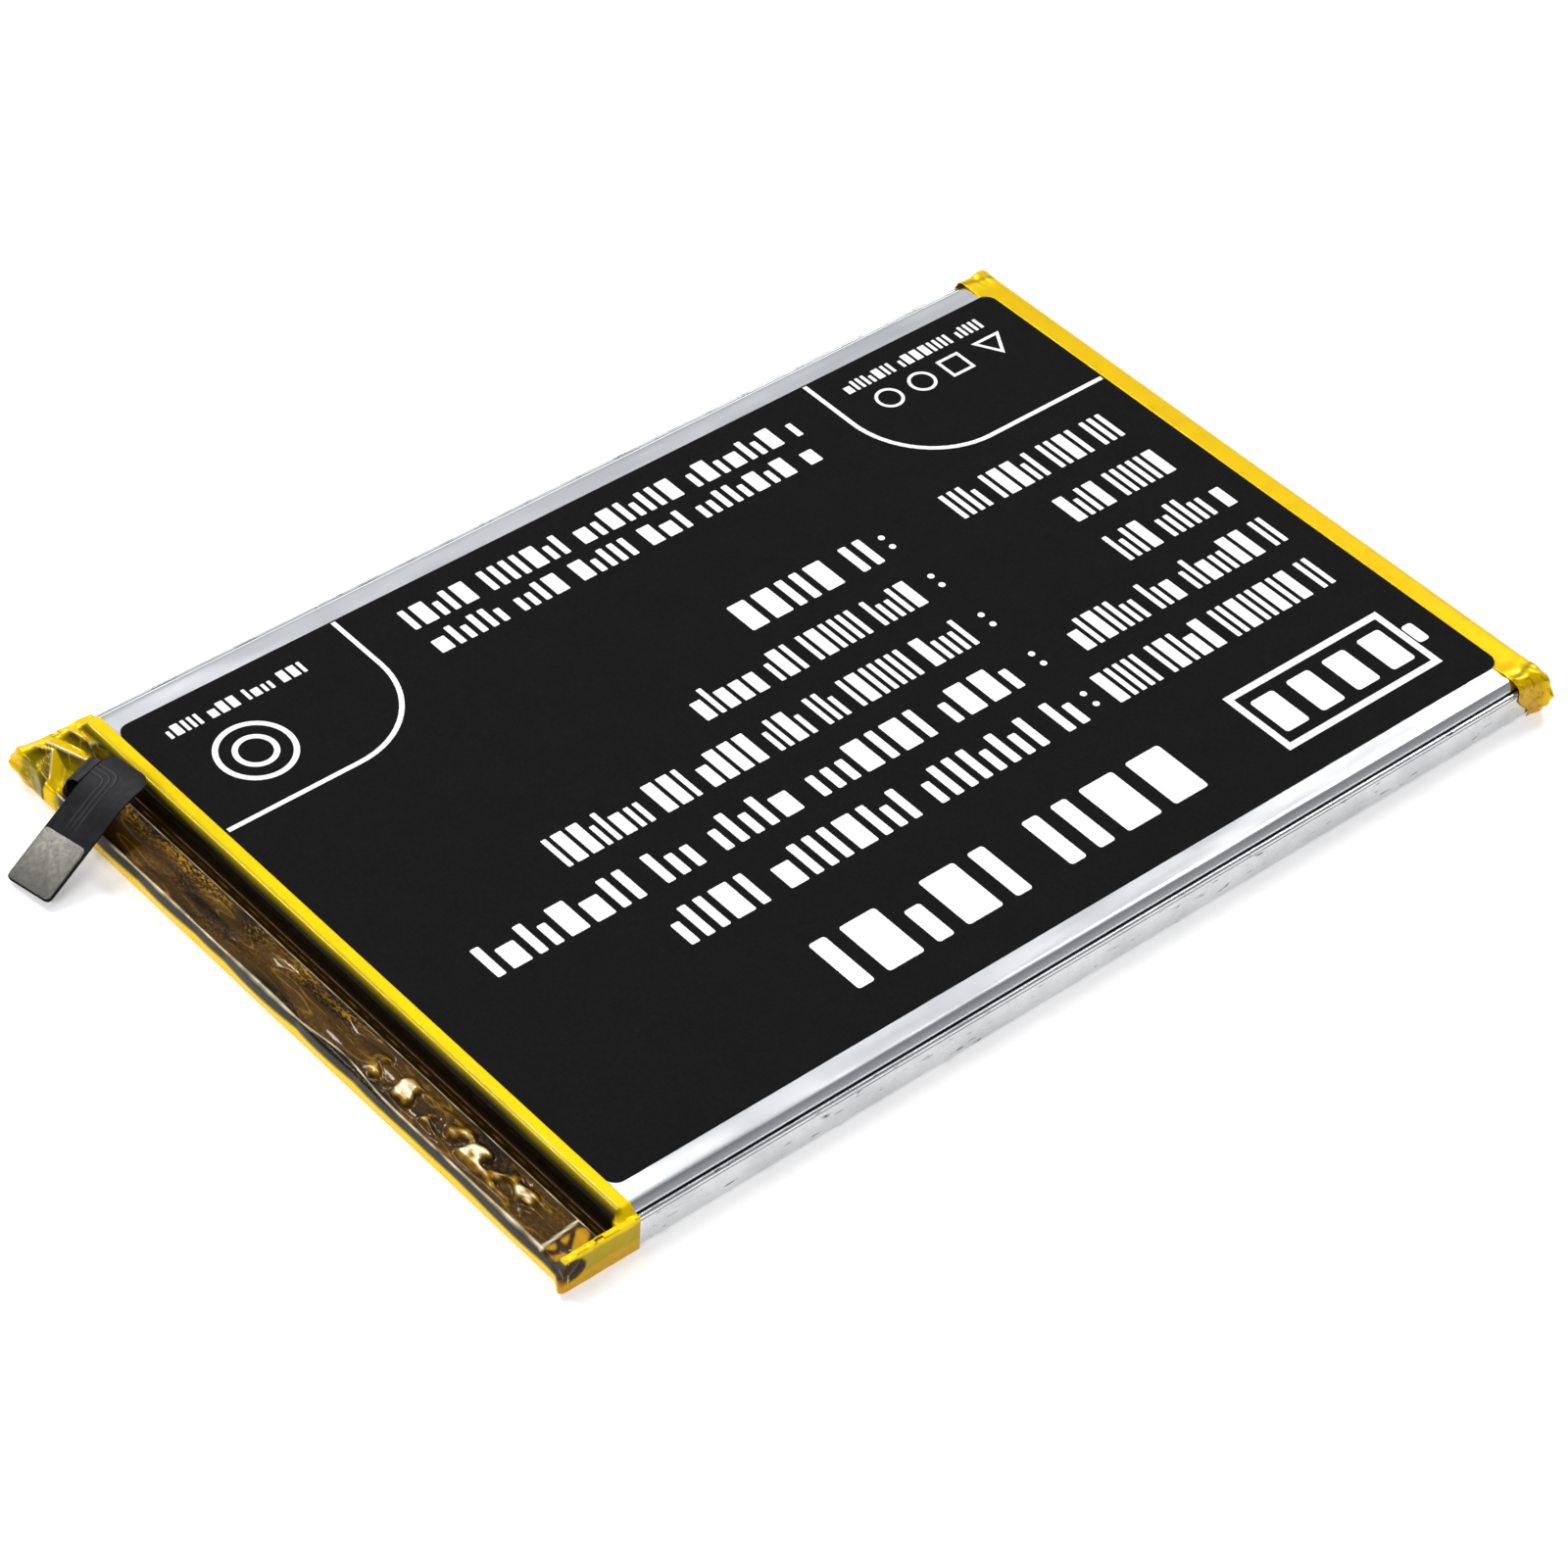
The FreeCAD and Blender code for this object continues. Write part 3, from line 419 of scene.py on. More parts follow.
def rounded_route(points, radii, pitch):
    """Points about pitch apart along a route of (u, v) points whose turns are arcs."""
    route = []
    here = Vector(points[0])
    for i in range(1, len(points) - 1):
        corner = Vector(points[i])
        before = (corner - Vector(points[i - 1])).normalized()
        after = (Vector(points[i + 1]) - corner).normalized()
        turn = before.angle_signed(after)
        reach = radii[i - 1] * math.tan(abs(turn) / 2)
        start = corner - before * reach
        route += [here.lerp(start, t) for t in steps(0, 1, pitch / max((start - here).length, pitch))[:-1]]
        count = max(3, round(abs(turn) * radii[i - 1] / pitch))
        centre = start + radii[i - 1] * Vector((-before.y, before.x)) * (-1 if turn > 0 else 1)
        for k in range(count):
            spin = Matrix.Rotation(-turn * k / count, 2)
            route.append(centre + spin @ (start - centre))
        here = corner + after * reach
    end = Vector(points[-1])
    route += [here.lerp(end, t) for t in steps(0, 1, pitch / (end - here).length)]
    return route


def creases(point, size, seed):
    """Folds like those of a crumpled film: 0 along the creases, rising to about 1 between them."""
    return abs(noise.noise(Vector([c / s for c, s in zip(point, size)]) + Vector((seed, seed, seed)))) * 2


# ---------------------------------------------------------------- amber film over both ends

FILM_PITCH = 0.16
ROUTE_PITCH = 0.07
WALL = LABEL_LOW.y - 1.81
VALLEY = 1.6
HUMP = BOARD_COVER_TOP + FILM + 0.02
RIM = SEAL_HIGH.z + FILM
SIDE = TERRACE_HIGH.x
INNER_RIDGE = -47.22
RIM_INSIDE = SIDE - 1.25
LOOSE_END = -29.0
BOARD_END = 31.1
BOARD_MIDDLE = (INNER_RIDGE + TERRACE_LOW.y) / 2
BUBBLE_START, BUBBLE_END = 9.5, 27.5
CORNER_CREASES = (
    ((-33.6, -49.5), (-30.3, -47.2)),
    ((-34.0, -51.0), (-32.4, -49.2)),
    ((-32.4, -49.2), (-30.4, -50.9)),
    ((-33.9, -47.4), (-32.0, -46.3)),
    ((-32.0, -46.3), (-30.2, -45.7)),
)


def paint(thing, colour_at, grit_at):
    """Store the colour seen through the film at each point, painted highlights and painted shade included, and how far
    it is speckled with gold.
    """
    mesh = thing.data
    colours = mesh.color_attributes.new("film_colour", "FLOAT_COLOR", "POINT")
    for vertex, colour in zip(mesh.vertices, colours.data):
        colour.color = (*[clamp(c) for c in colour_at(vertex.co / MM)], 1.0)
    grit = mesh.attributes.new("film_grit", "FLOAT", "POINT")
    grit.data.foreach_set("value", [grit_at(vertex.co / MM) for vertex in mesh.vertices])


def crumple(thing, push_at):
    """Move each point along its normal by push_at, and then by any tug that it gives, in millimetres."""
    work = bmesh.new()
    work.from_mesh(thing.data)
    work.normal_update()
    moves = [push_at(v.co / MM, v.normal.copy()) * MM for v in work.verts]
    for vertex, move in zip(work.verts, moves):
        vertex.co += move
        vertex.co.z = max(vertex.co.z, 0.0)
    work.to_mesh(thing.data)
    work.free()


def terrace_point(x, y, z, past_wall):
    """The film's point over the terrace: it dips across the board and rises onto the side seals."""
    rim = ease(abs(x), RIM_INSIDE, SIDE - 0.45)
    if x < 0:
        rim = max(rim, ease(-x, 0.4 - LOOSE_END, SIDE - 0.45) * ease(z, TERRACE_HIGH.z - 0.05, RIM - 0.4))
    on_rim = RIM * clamp(z / HUMP) if past_wall else RIM
    return (x, y, z + (on_rim - z) * rim)


def terrace_grid():
    """Points and faces of the film over the terrace: its top, its two side flaps and its back."""
    low = TERRACE_LOW.y
    route = rounded_route(
        [
            (LABEL_LOW.y - 0.05, TERRACE_HIGH.z),
            (WALL, TERRACE_HIGH.z),
            (WALL, VALLEY),
            (INNER_RIDGE, HUMP),
            (low, HUMP),
            (low, 0.0),
            (LABEL_LOW.y, 0.0),
        ],
        [0.93, 0.22, 0.12, 0.14, 0.1],
        ROUTE_PITCH,
    )
    across = steps(-SIDE, SIDE, FILM_PITCH)
    points = []
    for y, z in route:
        points += [terrace_point(x, y, z, z < HUMP and y < low + 0.2) for x in across]
    faces = grid_faces(len(route), len(across))
    top = [y for y, z in route if z >= VALLEY - 0.05 and y > low + 0.1] + [low]
    down = [z / HUMP for y, z in route if y < low + 0.2 and z < HUMP] + [0.0]
    for side in (-SIDE, SIDE):
        first = len(points)
        ys = sorted(set(round(y, 4) for y in top), reverse=True)
        for y in ys:
            points += [(side, y, RIM * share) for share in [1.0] + down]
        faces += grid_faces(len(ys), len(down) + 1, first)
    return points, faces


def corner_pull(point, corner, reach, tug, seed):
    """How far a point moves where a corner of the film is drawn out by tug into a crumpled ear."""
    away = Vector((point.x - corner.x, point.y - corner.y, (point.z - corner.z) * 0.55))
    share = math.exp(-away.length / reach)
    if share < 0.02:
        return Vector()
    ragged = 0.85 + 0.6 * noise.noise(Vector((seed, point.z * 1.4, point.x * 0.7)))
    twist = noise.noise_vector(point * 1.1 + Vector((seed, 0, 0))) * 0.35
    return (tug * ragged + twist * tug.length) * share


def bubble(x, y):
    """How far the film stands off the board in a chain of bubbles: 0 where it lies flat, up to 1."""
    along = ease(x, BUBBLE_START - 1.5, BUBBLE_START + 1.0) * ease(x, BUBBLE_END + 0.8, BUBBLE_END - 0.8)
    across = ease(abs(y - BOARD_MIDDLE), 1.55, 0.5)
    return along * across * ease(noise.noise(Vector((x * 0.5, y * 0.85, 11.0))), -0.2, 0.25)


def nearest_crease(x, y):
    """The distance to the nearest crease beside the flex, which side of it a place is on, and its number."""
    best = (math.inf, 1.0, 0)
    for number, (start, end) in enumerate(CORNER_CREASES):
        run = Vector(end) - Vector(start)
        offset = Vector((x, y)) - Vector(start)
        distance = (offset - run * clamp(offset.dot(run) / run.length_squared)).length
        if distance < best[0]:
            best = (distance, math.copysign(1.0, run.cross(offset)), number)
    return best


def terrace_push(point, normal):
    """The crumple of the terrace film, outward only: long folds and bubbles over the board, sharp at its ends."""
    if point.z < 0.12:
        return Vector()
    x, y, z = point
    on_board = ease(y, INNER_RIDGE + 0.2, INNER_RIDGE - 0.4) * ease(z, 0.2, 0.7)
    middle = ease(abs(x), SIDE - 0.5, SIDE - 1.6)
    folds = abs(noise.noise(Vector((x * 0.13, y * 0.5, 3.1)))) * 0.3
    lift = (folds + bubble(x, y) * 0.42) * on_board * middle
    lift += creases(point, (2.0, 1.3, 1.3), 5.3) * 0.08 * (1 - middle)
    past_wall = ease(y, WALL + 0.3, WALL - 0.3) * ease(z, 0.3, 1.0)
    loose = ease(x, LOOSE_END + 0.6, LOOSE_END - 0.4) * past_wall * ease(abs(x), SIDE - 0.05, SIDE - 0.9)
    if loose > 0:
        lift += (1 - clamp(nearest_crease(x, y)[0] / 1.1)) * 0.5 * loose
    push = normal * lift
    for side, height, tug in ((-1, 2.1, (-0.9, -0.7, 0.05)), (1, 0.6, (-0.1, -0.85, -0.12))):
        corner = Vector((side * SIDE, TERRACE_LOW.y, height))
        push += corner_pull(point, corner, 0.6, Vector(tug), 4.0 + side)
    return push


def board_colour(x, y, z):
    """The film over the board: brown with dark patches and a painted shadow streak, paler where it stands off in
    bubbles, with painted highlights in gold and cream over them.
    """
    patch = noise.noise(Vector((x * 0.16, y * 0.9, z)))
    streak = creases((x, y, z), (5.0, 0.8, 1.0), 2.2)
    colour = mix(BRONZE, BROWN, ease(patch, -0.2, 0.25))
    colour = mix(colour, DEEP, ease(patch, 0.15, 0.35))
    colour = mix(colour, GOLD, ease(streak, 0.12, 0.01) * 0.4 * ease(patch, 0.3, -0.2))
    shadow = math.hypot((x + 11.7) / 4.0, (y - BOARD_MIDDLE + 0.25) / 0.35)
    colour = mix(colour, BLACK_BROWN, ease(shadow, 1.2, 0.6))
    # Paler where the film stands off the board over air, with a painted highlight on top: gold, then cream over the
    # bubbles.
    bubble_highlight = bubble(x, y) + 0.45 * noise.noise(Vector((x * 1.3, y * 2.4, 8.0)))
    colour = mix(colour, GOLD, ease(bubble_highlight, 0.3, 0.75) * 0.6)
    return mix(colour, CREAM, ease(bubble_highlight, 0.68, 1.15) * 0.85)


def terrace_grit(point):
    """The gold speckle over the board: a band along its inner edge, and fainter elsewhere."""
    x, y, z = point
    on_board = ease(y, INNER_RIDGE, INNER_RIDGE - 0.15) * ease(z, HUMP - 0.25, HUMP - 0.05)
    band = ease(y, INNER_RIDGE - 1.7, INNER_RIDGE - 0.5) * ease(x, 9.0, 2.0)
    patch = clamp(0.55 + 1.4 * noise.noise(Vector((x * 0.25, y * 0.7, 5.0))))
    return on_board * patch * (0.14 + 0.6 * band) * ease(x, BOARD_END, BOARD_END - 0.4)


def wall_colour(x, y, z):
    """The film from the pouch's top down its end wall, and along the valley in front of the board: painted shade takes
    it from yellow through olive to near black over the shoulder, and a painted highlight runs along a crease in the
    valley.
    """
    wave = 0.1 * noise.noise(Vector((x * 0.14, 0, 2)))
    # Painted shade: yellow to olive to near black over the shoulder and down the wall; lower, toward the valley, it
    # turns brown.
    colour = mix(YELLOW, OLIVE, ease(y + wave, WALL + 1.1, WALL + 0.5))
    colour = mix(colour, BLACK_BROWN, ease(y + wave, WALL + 0.6, WALL + 0.1))
    colour = mix(colour, BROWN, ease(z, 2.4, 1.75) * ease(y, WALL + 0.1, WALL - 0.1))
    # Painted highlight: a beaded gold line along the crease in the valley.
    highlight_beads = clamp(0.25 + 1.6 * noise.noise(Vector((x * 0.8, 0, 7))))
    crease = 1 - clamp(abs(y - WALL + 0.62) / 0.1)
    return mix(colour, GOLD, crease * highlight_beads)


def outer_colour(x, z):
    """The film down the terrace's outer edge: dark where the board ends, yellow over the pouch's flange."""
    wave = 0.07 * noise.noise(Vector((x * 0.3, 0, 1)))
    colour = mix(FLANGE_YELLOW, OLIVE, ease(z + wave, 0.8, 1.15))
    colour = mix(colour, BLACK_BROWN, ease(z + wave, 1.05, 1.3))
    return mix(colour, GOLD, ease(z, 0.25, 0.05) * 0.6)


def outer_line(x):
    """Where the painted highlight along the crease at the board's outer edge runs: it bends inward beside the bubbles.
    """
    return TERRACE_LOW.y + 0.08 + 0.5 * math.exp(-(((x - 7.5) / 3.2) ** 2))


def loose_colour(x, y, z):
    """The crumpled film beside the flex: facets that meet at straight creases, with painted shade on one side of each
    and painted highlights along the creases and wrinkles.
    """
    distance, side, number = nearest_crease(x, y)
    # Painted shade: facets on one side of each crease go olive to brown, darkest by the crease; the others stay
    # yellow.
    shaded_facet = mix(OLIVE, BROWN, ease(distance, 0.9, 0.2) * 0.75)
    colour = shaded_facet if side < 0 else mix(YELLOW, OLIVE, ease(distance, 0.7, 1.3) * 0.8)
    # Painted highlight: paler yellow along the small wrinkles.
    wrinkle_highlight = creases((x, y, z), (1.6, 0.7, 0.7), 6.1)
    colour = mix(colour, YELLOW, ease(wrinkle_highlight, 0.12, 0.0) * 0.5)
    # Painted highlight: cream along each crease, widest on the long one.
    width = 0.15 if number == 0 else 0.09
    return mix(colour, CREAM, (1 - clamp(distance / width)) * (1.0 if number == 0 else 0.6))


def flap_colour(x, y, z, fine):
    """The film folded down over the terrace's end: olive over the seal, tan below, and a painted shadow, a dark
    half-moon, in front.
    """
    colour = mix(TAN, (0.44, 0.33, 0.0), ease(z, 0.9, 1.5))
    colour = mix(colour, YELLOW, ease(z, RIM - 0.5, RIM - 0.15))
    colour = mix(colour, GOLD, ease(fine, 0.06, 0.0) * 0.25)
    # Painted shadow: a dark brown half-moon on the front of the flap.
    moon = math.hypot((y - TERRACE_LOW.y - 0.45) / 1.35, (z - 1.9) / 1.15)
    return mix(colour, BROWN, ease(moon, 1.1, 0.85) * ease(x, 0, 1))


def terrace_colour(point):
    """What the film shows of the things under it: silver pouch, dark board, side seals and loose tips, with painted
    highlights along its ridges and mitre and painted shade in its creases.
    """
    x, y, z = point
    facet = creases((x, y, z), (2.0, 1.3, 1.3), 5.3)
    fine = creases((x, y, z), (0.8, 0.35, 0.4), 6.5)
    colour = mix(wall_colour(x, y, z), board_colour(x, y, z), ease(y, INNER_RIDGE + 0.25, INNER_RIDGE - 0.05))
    on_top = ease(z, HUMP - 0.2, HUMP - 0.05)
    colour = mix(colour, BLACK_BROWN, ease(y, outer_line(x) + 0.05, outer_line(x) - 0.1) * on_top)
    # Painted highlight: cream lines along the inner and outer ridges, broken by glints.
    inner_ridge_highlight = (1 - clamp(abs(y - INNER_RIDGE) / 0.09)) * ease(z, 2.6, 2.3)
    outer_ridge_highlight = (1 - clamp(abs(y - outer_line(x)) / 0.08)) * on_top
    glint = clamp(0.6 + 0.9 * noise.noise(Vector((x * 0.6, 0, 3))))
    colour = mix(colour, CREAM, max(inner_ridge_highlight, outer_ridge_highlight) * glint)
    outside = ease(y, TERRACE_LOW.y + 0.3, TERRACE_LOW.y + 0.1)
    colour = mix(colour, outer_colour(x, z), outside * ease(z, HUMP - 0.06, HUMP - 0.2))
    past_wall = ease(y, WALL + 0.3, WALL - 0.1)
    loose = ease(x, LOOSE_END + 0.5, LOOSE_END - 0.3) * ease(z, 0.2, 0.4) * past_wall
    colour = mix(colour, loose_colour(x, y, z), loose)
    on_board = ease(y, INNER_RIDGE + 0.1, INNER_RIDGE - 0.1) * on_top
    beyond = mix(BROWN, GOLD, ease(facet, 0.2, 0.6))
    colour = mix(colour, beyond, ease(x, BOARD_END, BOARD_END + 0.3) * on_board)
    # Painted highlight: a cream line along the mitre at the board's end.
    mitre_at = BOARD_END - 0.12 * (y - INNER_RIDGE) - 0.5
    colour = mix(colour, CREAM, (1 - clamp(abs(x - mitre_at) / 0.16)) * on_board * clamp(glint + 0.1) * 0.8)
    colour = mix(colour, flap_colour(x, y, z, fine), ease(abs(x), SIDE - 1.1, SIDE - 0.75))
    tip = math.hypot(abs(x) - SIDE - 0.2, y - TERRACE_LOW.y + 0.2, (z - 0.3) * 1.1 if x > 0 else 0.0)
    # Painted shade: the crumpled tips turn dark red-brown in their creases.
    crumpled = mix(AMBER, CREASE_SHADE_BROWN, ease(facet, 0.25, 0.0) * 0.7)
    colour = mix(colour, mix(crumpled, YELLOW, 0.7 if x < 0 else 0.15), ease(tip, 1.25, 0.6))
    return mix(colour, YELLOW, ease(z, 0.05, 0.0))


def cut_window(thing):
    """Open the film where the flex comes up: a slot with round ends beside the fold."""
    low_x, high_x = -29.6, -26.5
    half = 1.45
    work = bmesh.new()
    work.from_mesh(thing.data)
    gone = []
    for face in work.faces:
        centre = face.calc_center_median() / MM
        reach = math.sqrt(max(0.0, 1 - (abs(centre.y - BOARD_MIDDLE) / half) ** 2.6))
        inside = low_x + (1 - reach) * 0.9 < centre.x < high_x
        if inside and abs(centre.y - BOARD_MIDDLE) < half and centre.z > 1.2:
            gone.append(face)
    bmesh.ops.delete(work, geom=gone, context="FACES")
    work.to_mesh(thing.data)
    work.free()


def make_terrace_film():
    thing = new_object("terrace_film", *terrace_grid(), LOOKS["polyimide_tape"])
    weld(thing)
    cut_window(thing)
    paint(thing, terrace_colour, terrace_grit)
    crumple(thing, terrace_push)
    shade(thing)
    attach(thicken(thing, FILM), "root")
    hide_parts("terrace_tape")


TAIL_ROUND = 0.96


def tail_point(x, y, z):
    """A point of a box's face moved onto the box with rounded top and outer edges."""
    core = Vector((clamp(x, -TAIL_HIGH.x + TAIL_ROUND, TAIL_HIGH.x - TAIL_ROUND), min(y, TAIL_HIGH.y - TAIL_ROUND), 0))
    core.z = min(z, TAIL_HIGH.z - TAIL_ROUND)
    out = Vector((x, y, z)) - core
    if out.length < 1e-6:
        return (x, y, z)
    return tuple(core + out.normalized() * TAIL_ROUND)


def tail_grid():
    """Points and faces of the film over the far end: top, end wall and two sides."""
    half = TAIL_HIGH.x
    across = steps(-half, half, FILM_PITCH)
    back = steps(TAIL_LOW.y, TAIL_HIGH.y, FILM_PITCH)
    down = steps(TAIL_HIGH.z, 0.0, FILM_PITCH)
    outline = [(y, TAIL_HIGH.z) for y in back] + [(TAIL_HIGH.y, z) for z in down[1:]]
    points = [tail_point(x, y, z) for y, z in outline for x in across]
    faces = grid_faces(len(outline), len(across))
    for side in (-half, half):
        first = len(points)
        points += [tail_point(side, y, z) for y in back for z in down]
        faces += grid_faces(len(back), len(down), first)
    return points, faces


def trim_tail(thing):
    """Cut the film back along the label, and along a curve on each side."""
    radius = 1.1
    middle = Vector((LABEL_HIGH.x - radius, LABEL_HIGH.y - radius))
    work = bmesh.new()
    work.from_mesh(thing.data)
    gone = []
    for face in work.faces:
        x, y, z = face.calc_center_median() / MM
        past = Vector((max(abs(x) - middle.x, 0.0), max(y - middle.y, 0.0)))
        under_label = past.length < radius + 0.03 and z > TAIL_HIGH.z - 0.5
        curve = TAIL_LOW.y + 1.5 * ease(z, 3.2, 0.4) ** 2
        if under_label or (abs(x) > TAIL_HIGH.x - 0.4 and y < curve):
            gone.append(face)
    bmesh.ops.delete(work, geom=gone, context="FACES")
    work.to_mesh(thing.data)
    work.free()


def tail_push(point, normal):
    """The far film is drawn smooth along the end and crumpled outward into ears at its corners."""
    if point.z < 0.12:
        return Vector()
    corner = ease(abs(point.x), TAIL_HIGH.x - 3.2, TAIL_HIGH.x - 0.6)
    push = normal * creases(point, (1.7, 1.2, 1.0), 7.7) * 0.17 * corner
    for side, height, tug in ((-1, 2.4, (-1.5, 0.1, -0.1)), (1, 1.9, (2.9, 0.1, -0.6))):
        place = Vector((side * TAIL_HIGH.x, TAIL_HIGH.y, height))
        push += corner_pull(point, place, 0.5, Vector(tug), 9.0 + side)
    return push


def tail_colour(point):
    """Smooth yellow over the end, with painted shade as a deeper amber band along its rounded far edge, and facets at
    its corners with painted shade along their creases.
    """
    x, y, z = point
    edge = ease(abs(x), TAIL_HIGH.x - 1.6, TAIL_HIGH.x - 0.5)
    streak = creases((x, y, z), (1.1, 0.8, 0.8), 1.4)
    side = mix((0.60, 0.36, 0.004), (0.62, 0.36, 0.03), ease(z, 2.6, 0.6))
    colour = mix(TAIL_YELLOW, side, edge * ease(z, 3.75, 3.2))
    stripe = 1 - clamp(abs(abs(x) - TAIL_HIGH.x + 0.9 + (y - TAIL_LOW.y) * 0.25) / 0.35)
    colour = mix(colour, OLIVE, stripe * 0.85)
    # Painted shade: red-brown along the creases near the sides and at the corner tips.
    colour = mix(colour, CREASE_SHADE_BROWN, edge * ease(streak, 0.14, 0.02) * 0.65)
    tip = math.hypot(abs(x) - TAIL_HIGH.x - 0.2, y - TAIL_HIGH.y - 0.2)
    colour = mix(colour, mix(TAIL_YELLOW, CREASE_SHADE_BROWN, ease(streak, 0.3, 0.0) * 0.8), ease(tip, 1.5, 0.7) * 0.9)
    # Painted shade: a deeper amber band along the rounded far edge, where the film turns away.
    return mix(colour, TAIL_EDGE_SHADE, ease(y, TAIL_HIGH.y - 0.5, TAIL_HIGH.y - 0.08) * 0.7 * (1 - edge))


def make_tail_film():
    thing = new_object("tail_film", *tail_grid(), LOOKS["polyimide_tape"])
    weld(thing)
    trim_tail(thing)
    paint(thing, tail_colour, lambda point: 0.0)
    crumple(thing, tail_push)
    shade(thing)
    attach(thicken(thing, FILM), "root")
    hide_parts("tail_tape")


# ---------------------------------------------------------------- print on the label

UNIT = (LABEL_HIGH.x - LABEL_LOW.x) / 56
INK_THICKNESS = 0.012


def label_xy(u, v):
    """A place on the label: u across it and v along it, both from its low corner, in print units."""
    return (LABEL_LOW.x + u * UNIT, LABEL_LOW.y + v * UNIT)


class Print:
    """Flat shapes laid on the label, gathered into one mesh."""

    def __init__(self):
        self.points = []
        self.faces = []

    def shape(self, outline):
        """A convex outline of (u, v) places, raised by the ink's thickness."""
        first = len(self.points)
        count = len(outline)
        for height in (0.0, INK_THICKNESS):
            self.points += [(*label_xy(u, v), LABEL_HIGH.z + height) for u, v in outline]
        self.faces.append(tuple(range(first + count, first + 2 * count)))
        for i in range(count):
            j = (i + 1) % count
            self.faces.append((first + i, first + j, first + count + j, first + count + i))

    def bar(self, u_low, u_high, v_low, v_high, radius=0.3):
        """A bar with rounded corners."""
        radius = min(radius, (u_high - u_low) / 2, (v_high - v_low) / 2)
        outline = []
        for quarter, (u, v) in enumerate(
            ((u_high, v_high), (u_low, v_high), (u_low, v_low), (u_high, v_low))
        ):
            centre_u = u + (radius if u == u_low else -radius)
            centre_v = v + (radius if v == v_low else -radius)
            for k in range(5):
                angle = math.pi / 2 * (quarter + k / 4)
                outline.append((centre_u + radius * math.cos(angle), centre_v + radius * math.sin(angle)))
        self.shape(outline)

    def line(self, route, width, closed=False):
        """A line of even width along a route of (u, v) places, mitred where it turns."""
        route = [Vector(place) for place in route]
        count = len(route)
        first = len(self.points)
        for i, here in enumerate(route):
            arriving = (here - route[i - 1]).normalized()
            leaving = (route[(i + 1) % count] - here).normalized()
            if not closed:
                arriving = arriving if i else leaving
                leaving = leaving if i < count - 1 else arriving
            across = Vector((-arriving.y - leaving.y, arriving.x + leaving.x))
            reach = width / across.length_squared
            sides = (here + across * reach, here - across * reach)
            for height in (0.0, INK_THICKNESS):
                self.points += [(*label_xy(*side), LABEL_HIGH.z + height) for side in sides]
        for i in range(count if closed else count - 1):
            a, b = first + 4 * i, first + 4 * ((i + 1) % count)
            self.faces += [(a + 2, a + 3, b + 3, b + 2), (a, a + 2, b + 2, b), (a + 1, b + 1, b + 3, a + 3)]

    def ring(self, u, v, radius, width, sides=48):
        turns = [2 * math.pi * k / sides for k in range(sides)]
        self.line([(u + radius * math.cos(a), v + radius * math.sin(a)) for a in turns], width, closed=True)

    def words(self, u_low, u_high, v_low, v_high, rng, stroke=0.55, longest=8):
        """A line of print stood in for by groups of plain upright bars, like a bar code."""
        height = u_high - u_low
        v = v_low
        while v < v_high - stroke:
            for _ in range(rng.randint(3, longest)):
                thick = stroke * rng.choice((1.0, 1.0, 2.2))
                if v + thick > v_high:
                    break
                short = rng.choice((0.0, 0.0, 0.26)) * height
                self.bar(u_low + height * 0.06 + short, u_high - height * 0.06, v, v + thick, stroke * 0.18)
                v += thick + stroke * 0.85
            v += stroke * 1.6


def corner_box(ink, v_edge, v_inner):
    """The thin line that rounds off one corner of the label for the small marks."""
    width, bend = 0.4, 7.5
    side = 1 if v_inner > v_edge else -1
    reach = 13.4
    turns = [math.pi / 2 * k / 16 for k in range(17)]
    arc = [
        (reach - bend + bend * math.cos(a), v_inner - side * (bend - bend * math.sin(a)))
        for a in turns
    ]
    ink.line([(reach, v_edge + side * 0.15), *arc, (0.15, v_inner)], width)


def battery_sign(ink, u_low, u_high, v_low, v_high):
    """A plain battery sign: a case, its cap and four cells."""
    width = 0.6
    case = v_high - 1.5
    half = width / 2
    case_corners = [(u_low, v_low), (u_high, v_low), (u_high, case), (u_low, case)]
    ink.line(case_corners, width, closed=True)
    ink.bar((u_low * 2 + u_high) / 3, (u_low + u_high * 2) / 3, case + half + 0.15, v_high)
    room = case - v_low - width
    for k in range(4):
        start = v_low + half + room * (k + 0.18) / 4
        ink.bar(u_low + 2 * width, u_high - 2 * width, start, start + room * 0.16)


def small_signs(ink, rng):
    """The plain signs in the two corner boxes: rings, a square, a triangle and bars."""
    ink.ring(7.9, 6.6, 2.9, 0.45)
    ink.ring(7.9, 6.6, 1.5, 0.45)
    ink.words(2.0, 3.4, 2.6, 14.8, rng, stroke=0.3)
    ink.words(1.7, 3.1, 67.0, 82.0, rng, stroke=0.3)
    ink.ring(5.2, 69.2, 1.05, 0.28)
    ink.ring(5.2, 72.6, 1.05, 0.28)
    ink.line([(4.2, 75.1), (6.2, 75.1), (6.2, 77.1), (4.2, 77.1)], 0.28, closed=True)
    ink.line([(4.2, 79.0), (6.2, 80.2), (4.2, 81.4)], 0.28, closed=True)


